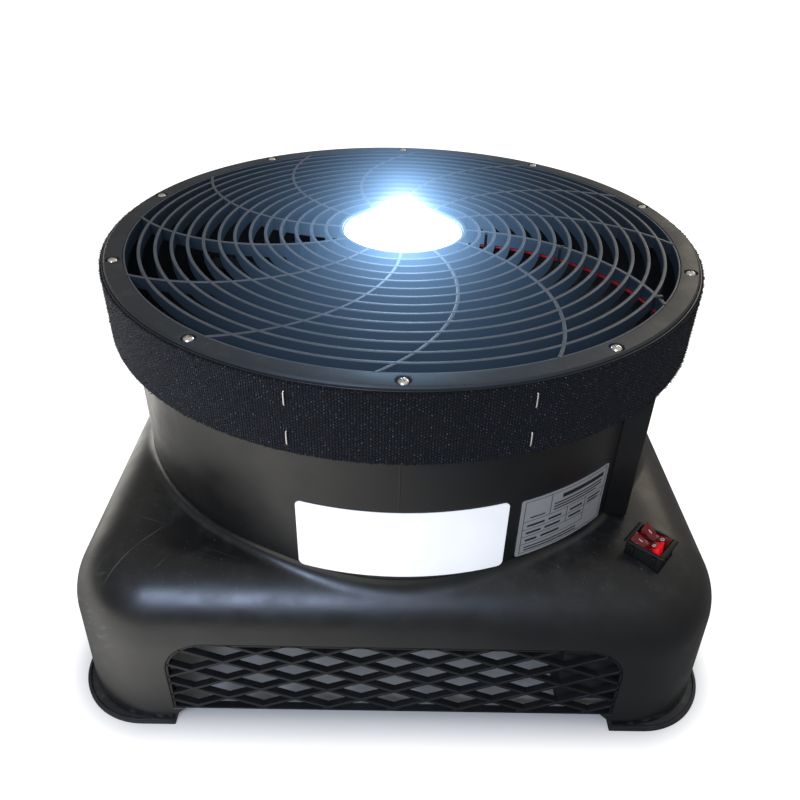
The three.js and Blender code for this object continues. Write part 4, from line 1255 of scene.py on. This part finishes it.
def lamp():
    case = turned("lamp_case", [(0, 264, 0), (36, 264, 2), (47.7, 274, 3), (47.7, 285.4, 0),
                                (53, 285.4, 0.8), (53, 288.9, 0.8), (47.7, 288.9, 0),
                                (47.7, 297, 0.9), (45, 297, 0.5), (45, 290, 0), (0, 290, 0)],
                  LAMP_SHELL)
    settle(case, CHASSIS, "lamp_metal", "lamp_housing")
    low, top, edge = lens_low.z, lens_high.z, lens_high.x
    profile = [(0, low), (edge, low), (edge, low + 1 * MM)]
    rings = 22
    for step in range(rings):
        share = 1 - (step + 0.4) / rings
        crown = low + 1.4 * MM + (top - low - 1.4 * MM) * (1 - share ** 2)
        profile.append((edge * share, crown - (0.12 * MM if step % 2 else 0)))
    profile.append((0, top))
    settle(cup("lens_dome", profile, LENS, 120, 60), CHASSIS, "lamp_lens", "lamp_lens")


def wire_route(side):
    """Under its spoke, down inside the collar, out through it and down the wire cover."""
    beside = side * (WIRE_RADIUS + 0.2 * MM)
    drop_radius, hole = 222.5 * MM, WIRE_HOLE

    def under_spoke(radius, z=WIRE_LEVEL):
        return around(radius, WIRE_SPOKE + spoke_angle(radius, SPOKE_BOW + beside), z)

    def on_wall(radius, angle, z):
        return around(radius, angle + math.degrees(1.2 * beside / radius), z)

    def drop(radius, z):
        return on_wall(radius, WIRE_DROP, z)

    route = [under_spoke(49.5 * MM, 280 * MM), under_spoke(52 * MM, 281 * MM),
             under_spoke(57 * MM, WIRE_LEVEL - 2 * MM), under_spoke(61 * MM, WIRE_LEVEL - 0.3 * MM)]
    route += [under_spoke(radius * MM) for radius in range(66, 200, 22)]
    route += [under_spoke(205 * MM), under_spoke(208 * MM), under_spoke(209.2 * MM)]
    route += [on_wall(209.9 * MM, 56.9, WIRE_LEVEL - 1.6 * MM), on_wall(209.7 * MM, 56.4, 280 * MM),
              on_wall(209.7 * MM, 54, 268 * MM), on_wall(209.7 * MM, 51, 250 * MM)]
    route += [drop(209.8 * MM, 242 * MM), drop(212 * MM, hole + MM), drop(216 * MM, hole),
              drop(220 * MM, hole - MM), drop(drop_radius, hole - 6 * MM),
              drop(drop_radius, 180 * MM), drop(drop_radius, 130 * MM),
              drop(drop_radius, 108 * MM), drop(drop_radius + 2 * MM, 97 * MM),
              drop(drop_radius + 4 * MM, 89.5 * MM)]
    return route


def wires():
    for side, colour, material in ((-1, "red", WIRE_RED), (1, "blue", WIRE_BLUE)):
        path = curve_through(wire_route(side), 12)
        made = sweep(f"{colour}_wire", path, circle(WIRE_RADIUS, 14), material)
        settle(made, CHASSIS, f"wire_{colour}", f"lamp_wire_{colour}")


def cable_ties():
    """Nylon ties round a grille spoke and the wires below it, each with its lock underneath."""
    inside, wall, half = 2.6 * MM, 0.8 * MM, 1.1 * MM
    low, high = WIRE_LEVEL - WIRE_RADIUS - 0.9 * MM, grille_high.z
    for count, radius in enumerate((66.9 * MM, 126 * MM, 206.9 * MM), 1):
        corners = [(-inside, low, 1.2 * MM), (inside, low, 1.2 * MM), (inside, high, 1.2 * MM),
                   (-inside, high, 1.2 * MM)]
        line = [Vector((0, p.x, p.y)) for p in rounded(corners, 5)]
        middle = Vector((0, 0, (low + high) / 2))
        loops = []
        for point in line:
            out = (point - middle).normalized() * wall
            across = Vector((half, 0, 0))
            loops.append([point - across, point + across, point + across + out,
                          point - across + out])
        strap = loft("strap", loops, TIE)
        lock = box("lock", (-1.8 * MM, -2.4 * MM, low - 4 * MM),
                   (1.8 * MM, 2.4 * MM, low - 0.4 * MM), TIE, 0.5 * MM, 2)
        tail = box("tail", (-0.9 * MM, 1.6 * MM, low - 8 * MM),
                   (0.9 * MM, 2.3 * MM, low - 3.8 * MM), TIE, 0.2 * MM, 1)
        made = joined(f"tie_{count}", [strap, lock, tail])
        further = radius + 0.5 * MM
        here = around(radius, WIRE_SPOKE + spoke_angle(radius))
        ahead = around(further, WIRE_SPOKE + spoke_angle(further)) - here
        heading = Matrix.Rotation(math.atan2(ahead.y, ahead.x), 4, "Z")
        moved(made, Matrix.Translation(here) @ heading)
        settle(made, CHASSIS, "tie_nylon", f"cable_tie_{count}")


# ---------------------------------------------------------------- switch
SWITCH_PLACE = (Matrix.Translation((SWITCH_MIDDLE.x, SWITCH_MIDDLE.y, 0))
                @ Matrix.Rotation(SWITCH_TURN, 4, "Z"))


def soft_rectangle(half_x, half_y, radius, steps=4):
    corners = [(-half_x, -half_y, radius), (half_x, -half_y, radius), (half_x, half_y, radius),
               (-half_x, half_y, radius)]
    return rounded(corners, steps)


def stack(name, levels, material):
    """A solid through soft rectangles: (half length, half width, corner radius, height)."""
    loops = [[Vector((p.x, p.y, z)) for p in soft_rectangle(a, b, radius)]
             for a, b, radius, z in levels]
    return loft(name, loops, material, False, True)


def switch_case():
    under = BEZEL_TOP - 2 * MM
    bezel = stack("bezel", [(15.2 * MM, 12.6 * MM, 1.4 * MM, under),
                            (15.3 * MM, 12.7 * MM, 1.5 * MM, under + 0.2 * MM),
                            (15.3 * MM, 12.7 * MM, 1.5 * MM, BEZEL_TOP - 0.9 * MM),
                            (15.0 * MM, 12.4 * MM, 1.4 * MM, BEZEL_TOP - 0.4 * MM),
                            (14.4 * MM, 11.9 * MM, 1.2 * MM, BEZEL_TOP - 0.1 * MM),
                            (13.3 * MM, 11.3 * MM, 1.0 * MM, BEZEL_TOP)], SWITCH)
    core = stack("core", [(13.0 * MM, 11.0 * MM, 0.8 * MM, 108 * MM),
                          (13.5 * MM, 11.5 * MM, 0.8 * MM, 109 * MM),
                          (13.5 * MM, 11.5 * MM, 0.8 * MM, under + 0.1 * MM)], SWITCH)
    pockets = []
    for side in (-1, 1):
        middle = side * ROCKER_PITCH / 2
        pocket = stack("pocket", [(11.5 * MM, 5.1 * MM, 0.5 * MM, BEZEL_TOP - 8.7 * MM),
                                  (11.5 * MM, 5.1 * MM, 0.5 * MM, BEZEL_TOP - 0.5 * MM),
                                  (11.9 * MM, 5.35 * MM, 0.6 * MM, BEZEL_TOP + 0.02 * MM),
                                  (11.9 * MM, 5.35 * MM, 0.6 * MM, BEZEL_TOP + MM)], SWITCH)
        pockets.append(moved(pocket, Matrix.Translation((0, middle, 0))))
    copies = [copy_of(pocket, "pocket", Matrix()) for pocket in pockets]
    parts = [cut(bezel, *pockets), cut(core, *copies)]
    for side in (-1, 1):
        for end in (-1, 1):
            latch = box("latch", (-1.6 * MM, 0, 0), (1.6 * MM, 0.9 * MM, 7.5 * MM), SWITCH,
                        0.3 * MM, 2)
            lean = Matrix.Rotation(math.radians(-7), 4, "X")
            if side < 0:
                lean = spin(180) @ lean
            place = Matrix.Translation((end * 8.3 * MM, side * 11.4 * MM, 135.2 * MM))
            parts.append(moved(latch, place @ lean))
        for level in range(3):
            rib = box("rib", (13.3 * MM, -0.6 * MM, 0), (14.2 * MM, 0.6 * MM, 7 * MM), SWITCH,
                      0.25 * MM, 2)
            place = Matrix.Translation((0, (level - 1) * 6.5 * MM, 134.8 * MM))
            parts.append(moved(rib, spin(0 if side > 0 else 180) @ place))
    for side in (-1, 1):
        for post in (-8, 0, 8):
            middle = side * ROCKER_PITCH / 2
            parts.append(box("post", ((post - 0.4) * MM, middle - 2.4 * MM, 99 * MM),
                             ((post + 0.4) * MM, middle + 2.4 * MM, 108.5 * MM), STEEL,
                             0.2 * MM, 1))
    made = moved(joined("switch_case", parts), SWITCH_PLACE)
    return settle(made, CHASSIS, "switch_plastic", "switch_housing")


def rocker(name, side, tilt, body_name, node):
    """Rocker dished between two raised ends, with a raised bar and circle on them."""
    half = (10.2 / 2 - 0.35) * MM
    reach, top, dip = 10.5, 7.4, 2.6
    outline = [(-reach, top, 0.5), (-9.6, -3, 0.8), (9.6, -3, 0.8), (reach, top, 0.5)]
    count = 12
    for step in range(1, count):
        along = reach * (1 - 2 * step / count)
        dish = dip + (top - dip) * abs(along / reach) ** 1.25
        outline.append((along, dish, 0))
    shape = rounded([(x * MM, z * MM, f * MM) for x, z, f in outline], 3)
    loops = []
    for y, inset in ((-half, 0.35), (-half + 0.12 * MM, 0.12), (-half + 0.4 * MM, 0),
                     (half - 0.4 * MM, 0), (half - 0.12 * MM, 0.12), (half, 0.35)):
        shrink = inset * MM
        loops.append([Vector((p.x * (1 - shrink / (reach * MM)), y,
                              p.y - shrink * (1 if p.y > 0 else -1))) for p in shape])
    body = loft("rocker", loops, ROCKER, False, True)
    bar = box("bar", (-6.6 * MM, -0.28 * MM, 0), (-3.4 * MM, 0.28 * MM, 0.3 * MM), MARK)
    bar_lift = Matrix.Translation((0, 0, 4.5 * MM)) @ Matrix.Rotation(math.radians(25), 4, "Y")
    moved(bar, Matrix.Translation((-5 * MM, 0, 0)) @ bar_lift @ Matrix.Translation((5 * MM, 0, 0)))
    ring_out, ring_in = 1.45 * MM, 1.0 * MM
    letter = ring("letter_o", ring_in, ring_out, 0, 0.3 * MM, 0, MARK, 32)
    lean = Matrix.Rotation(math.radians(-25), 4, "Y")
    moved(letter, Matrix.Translation((5 * MM, 0, 4.5 * MM)) @ lean)
    made = joined(name, [body, bar, letter])
    turn = Matrix.Rotation(math.radians(tilt), 4, "Y")
    lift = Matrix.Translation((0, side * ROCKER_PITCH / 2, ROCKER_PIVOT))
    moved(made, SWITCH_PLACE @ lift @ turn)
    return settle(made, body_name, "rocker_red", node)


# ---------------------------------------------------------------- fan and motor
FAN_TIP = 203 * MM
HUB_OUT = 48 * MM


def fan():
    hub = turned("hub_skin", [(0, 190, 0), (16, 190, 1), (16, 222, 2), (45, 222, 2), (45, 192, 0.4),
                              (48, 192, 0.6), (48, 221, 4), (41, 228, 4), (12, 228, 1),
                              (10.5, 226.5, 0.5), (0, 226.5, 0)], FAN, 160)
    parts = [hub]
    steps, rows = 26, 14
    for blade in range(5):
        loops = []
        for i in range(rows + 1):
            share = i / rows
            radius = HUB_OUT - 2 * MM + (FAN_TIP - HUB_OUT + 2 * MM) * share
            pitch = math.radians(46 - 22 * share)
            half = 52 * MM * (0.52 + 0.48 * share)
            if share > 0.93:
                half *= 1 - 0.14 * ((share - 0.93) / 0.07) ** 2
            upper, lower = [], []
            for step in range(steps + 1):
                chord = -half * math.cos(math.pi * step / steps)
                bow = 1 - (chord / half) ** 2
                camber = (-3 + 7.2 * bow) * MM
                thick = (0.5 + 1.3 * math.sqrt(max(bow, 0))) * MM
                for side, line in ((1, upper), (-1, lower)):
                    lift = camber + side * thick
                    across = chord * math.cos(pitch) - lift * math.sin(pitch)
                    height = chord * math.sin(pitch) + lift * math.cos(pitch)
                    reach = math.sqrt(radius ** 2 - across ** 2)
                    line.append(Vector((reach, across, 212 * MM + height)))
            loops.append(upper + lower[::-1])
        made = loft("blade", loops, FAN, False, True, 50)
        parts.append(moved(made, spin(blade * 72)))
    for rib in range(10):
        web = box("web", (17 * MM, -1.2 * MM, 196 * MM), (46 * MM, 1.2 * MM, 223 * MM), FAN)
        parts.append(moved(web, spin(rib * 36)))
    settle(joined("fan", parts), "fan", "fan_plastic", "fan_rotor")


def motor():
    floor = 116 * MM
    cap, can = floor + 0.3 * MM, floor + 10.6 * MM
    top = floor + 54 * MM
    bore, seat, shell = 7 * MM, 14.3 * MM, 62 * MM
    lower = lathe("lower_cap", [(bore, cap, 0.5 * MM), (shell, cap, 2 * MM),
                                (shell, cap + 10 * MM, 0.3 * MM), (seat, cap + 10 * MM, 0.3 * MM),
                                (seat, cap + 2 * MM, 0), (bore, cap + 2 * MM, 0.3 * MM)],
                  ALUMINIUM, 120)
    settle(lower, CHASSIS, "motor_aluminium", "motor_lower_cap")
    case = ring("motor_case", 59 * MM, shell, can, top - 0.3 * MM, 0.3 * MM, BRACKET, 120)
    settle(case, CHASSIS, "bracket_steel", "motor_can")
    upper = lathe("upper_cap", [(seat, top, 0.3 * MM), (shell, top, 0.5 * MM),
                                (58 * MM, top + 9 * MM, 3 * MM), (20 * MM, top + 11 * MM, 2 * MM),
                                (bore, top + 11 * MM, 0.5 * MM), (bore, top + 9 * MM, 0),
                                (seat, top + 9 * MM, 0)], ALUMINIUM, 120)
    fins = []
    for fin in range(12):
        rib = box("fin", (24 * MM, -1 * MM, top + 4 * MM), (55 * MM, 1 * MM, top + 12 * MM),
                  ALUMINIUM, 0.4 * MM, 2)
        fins.append(moved(rib, spin(fin * 30)))
    settle(joined("motor_top", [upper, *fins]), CHASSIS, "motor_aluminium", "motor_upper_cap")
    for node, inner, outer, low, high, material, slot, body in (
            ("motor_stator", 34, 58.7, 16, 48, STATOR, "copper_core", CHASSIS),
            ("motor_rotor", 6.3, 33, 18, 46, STEEL, "core_steel", "fan"),
            ("bearing_lower", 6.1, 14, 2.6, 9.1, STEEL, "bearing_steel", CHASSIS),
            ("bearing_upper", 6.1, 14, 56, 62.5, STEEL, "bearing_steel", CHASSIS)):
        made = ring(f"turned_{node}", inner * MM, outer * MM, floor + low * MM,
                    floor + high * MM, 0.4 * MM, material, 96)
        settle(made, body, slot, node)
    shaft = turned("turned_shaft", [(0, 117.5, 0), (6, 117.5, 0.6), (6, 238, 0.8), (0, 238, 0)],
                   STEEL, 48)
    settle(shaft, "fan", "core_steel", "motor_shaft")
    can_low, can_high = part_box("run_capacitor")
    middle = (can_low + can_high) / 2
    capacitor = turned("capacitor_can", [(0, 60, 0), (19, 60, 0.5), (20, 62, 0.5), (20, 120, 1.5),
                                         (0, 120, 0)], CAPACITOR, 64)
    moved(capacitor, Matrix.Translation((middle.x, middle.y, 0)))
    settle(capacitor, CHASSIS, "capacitor_case", "run_capacitor")


def kept_nodes():
    """The CAD nodes that stay as they are, with their finishes and small rounded edges."""
    finishes = {"lamp_board": LAMP_BOARD, "motor_bracket": BRACKET, "fan_nut": BOLT,
                "lamp_driver": DRIVER, "switch_box": BOX}
    finishes |= {f"bracket_bolt_{count}": BOLT for count in range(1, 5)}
    for node, material in finishes.items():
        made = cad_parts[node]
        made.data.materials.clear()
        made.data.materials.append(material)
        bevel = made.modifiers.new("edges", "BEVEL")
        bevel.width = 0.4 * MM
        bevel.segments = 2
        bevel.limit_method = "ANGLE"
        bevel.angle_limit = math.radians(30)


base_shell()
for side, turn in (("front", 0), ("right", 90), ("rear", 180), ("left", 270)):
    intake_panel(side, turn)
for corner, turn in (("rear_right", 0), ("rear_left", 90), ("front_left", 180),
                     ("front_right", 270)):
    foot(corner, turn)
mains_bush()
collar()
clamp()
cross_screws()
grille()
hook_band()
staples()
labels()
wire_cover()
lamp()
wires()
cable_ties()
switch_case()
rocker("rocker_near", -1, -9, "lamp_rocker", "rocker_lamp")
rocker("rocker_far", 1, 9, "fan_rocker", "rocker_fan")
fan()
motor()
kept_nodes()


# ---------------------------------------------------------------- studio
def area_light(name, place, target, size, power, colour):
    data = bpy.data.lights.new(name, "AREA")
    data.shape = "RECTANGLE"
    data.size, data.size_y = size
    data.energy = power
    data.color = colour
    made = bpy.data.objects.new(name, data)
    made.location = place
    made.rotation_mode = "QUATERNION"
    made.rotation_quaternion = (Vector(target) - Vector(place)).to_track_quat("-Z", "Y")
    bpy.context.scene.collection.objects.link(made)
    return made


def surround():
    """White to the camera; to reflections dimmer, and a little brighter right and above."""
    world = bpy.data.worlds.new("studio")
    world.use_nodes = True
    nodes, links = world.node_tree.nodes, world.node_tree.links

    def held_range(value, low, high, to_low, to_high):
        """The value's range low to high spread over another and held at its ends."""
        made = nodes.new("ShaderNodeMapRange")
        links.new(value, made.inputs["Value"])
        for key, number in (("From Min", low), ("From Max", high), ("To Min", to_low),
                            ("To Max", to_high)):
            made.inputs[key].default_value = number
        return made.outputs[0]

    def combined(operation, a, b):
        made = nodes.new("ShaderNodeMath")
        made.operation = operation
        links.new(a, made.inputs[0])
        links.new(b, made.inputs[1])
        return made.outputs[0]

    split = nodes.new("ShaderNodeSeparateXYZ")
    links.new(nodes.new("ShaderNodeTexCoord").outputs["Generated"], split.inputs[0])
    rightward = held_range(split.outputs[0], -0.3, 0.6, 0.2, 0.33)
    upward = held_range(split.outputs[2], 0.3, 0.7, 0.0, 0.24)
    seen = nodes.new("ShaderNodeLightPath").outputs["Is Camera Ray"]
    strength = combined("MAXIMUM", combined("ADD", rightward, upward), seen)
    tint = nodes.new("ShaderNodeMix")
    tint.data_type = "RGBA"
    tint.inputs[6].default_value = (1, 0.97, 0.9, 1)
    tint.inputs[7].default_value = (1, 1, 1, 1)
    links.new(seen, tint.inputs[0])
    sky = nodes["Background"]
    links.new(tint.outputs[2], sky.inputs["Color"])
    links.new(strength, sky.inputs["Strength"])
    bpy.context.scene.world = world


def studio():
    floor = prism("studio_floor", [(-6, -6), (6, -6), (6, 6), (-6, 6)], -0.02, 0, floor_paint())
    surround()
    area_light("window", place=(-0.55, -1.72, 1.5), target=(-0.05, -0.2, 0.12),
               size=(0.95, 0.6), power=32, colour=(0.56, 0.7, 1))
    area_light("lamp_right", place=(1.5, 1.9, 1.3), target=(0.1, 0, 0.15),
               size=(1.2, 0.9), power=7, colour=(1, 0.88, 0.68))
    glow = bpy.data.lights.new("lamp_glow", "POINT")
    glow.energy = 0.55
    glow.color = (0.42, 0.7, 1)
    glow.shadow_soft_size = 0.04
    made = bpy.data.objects.new("lamp_glow", glow)
    made.location = (0, 0, 0.35)
    bpy.context.scene.collection.objects.link(made)
    bpy.context.scene.view_settings.view_transform = "Standard"
    bpy.context.scene.view_settings.look = "None"


def camera():
    """From the front, a little left of the middle, looking down on the outlet."""
    pitch, yaw, roll = (math.radians(angle) for angle in (34.4025, 0.8312, 1.6588))
    ahead = Vector((math.sin(yaw) * math.cos(pitch), math.cos(yaw) * math.cos(pitch),
                    -math.sin(pitch)))
    right = Vector((math.cos(yaw), -math.sin(yaw), 0))
    up = right.cross(ahead)
    tilted_right = right * math.cos(roll) + up * math.sin(roll)
    tilted_up = up * math.cos(roll) - right * math.sin(roll)
    lens = bpy.data.cameras.new("camera")
    lens.sensor_width = 36
    lens.lens = 34.139
    lens.clip_start, lens.clip_end = 0.02, 30
    made = bpy.data.objects.new("camera", lens)
    made.rotation_mode = "QUATERNION"
    turn = Matrix((tilted_right, tilted_up, -ahead)).transposed()
    made.rotation_quaternion = turn.to_quaternion()
    made.location = (-0.0067, -0.5776, 0.5287)
    bpy.context.scene.collection.objects.link(made)
    bpy.context.scene.camera = made


studio()
camera()
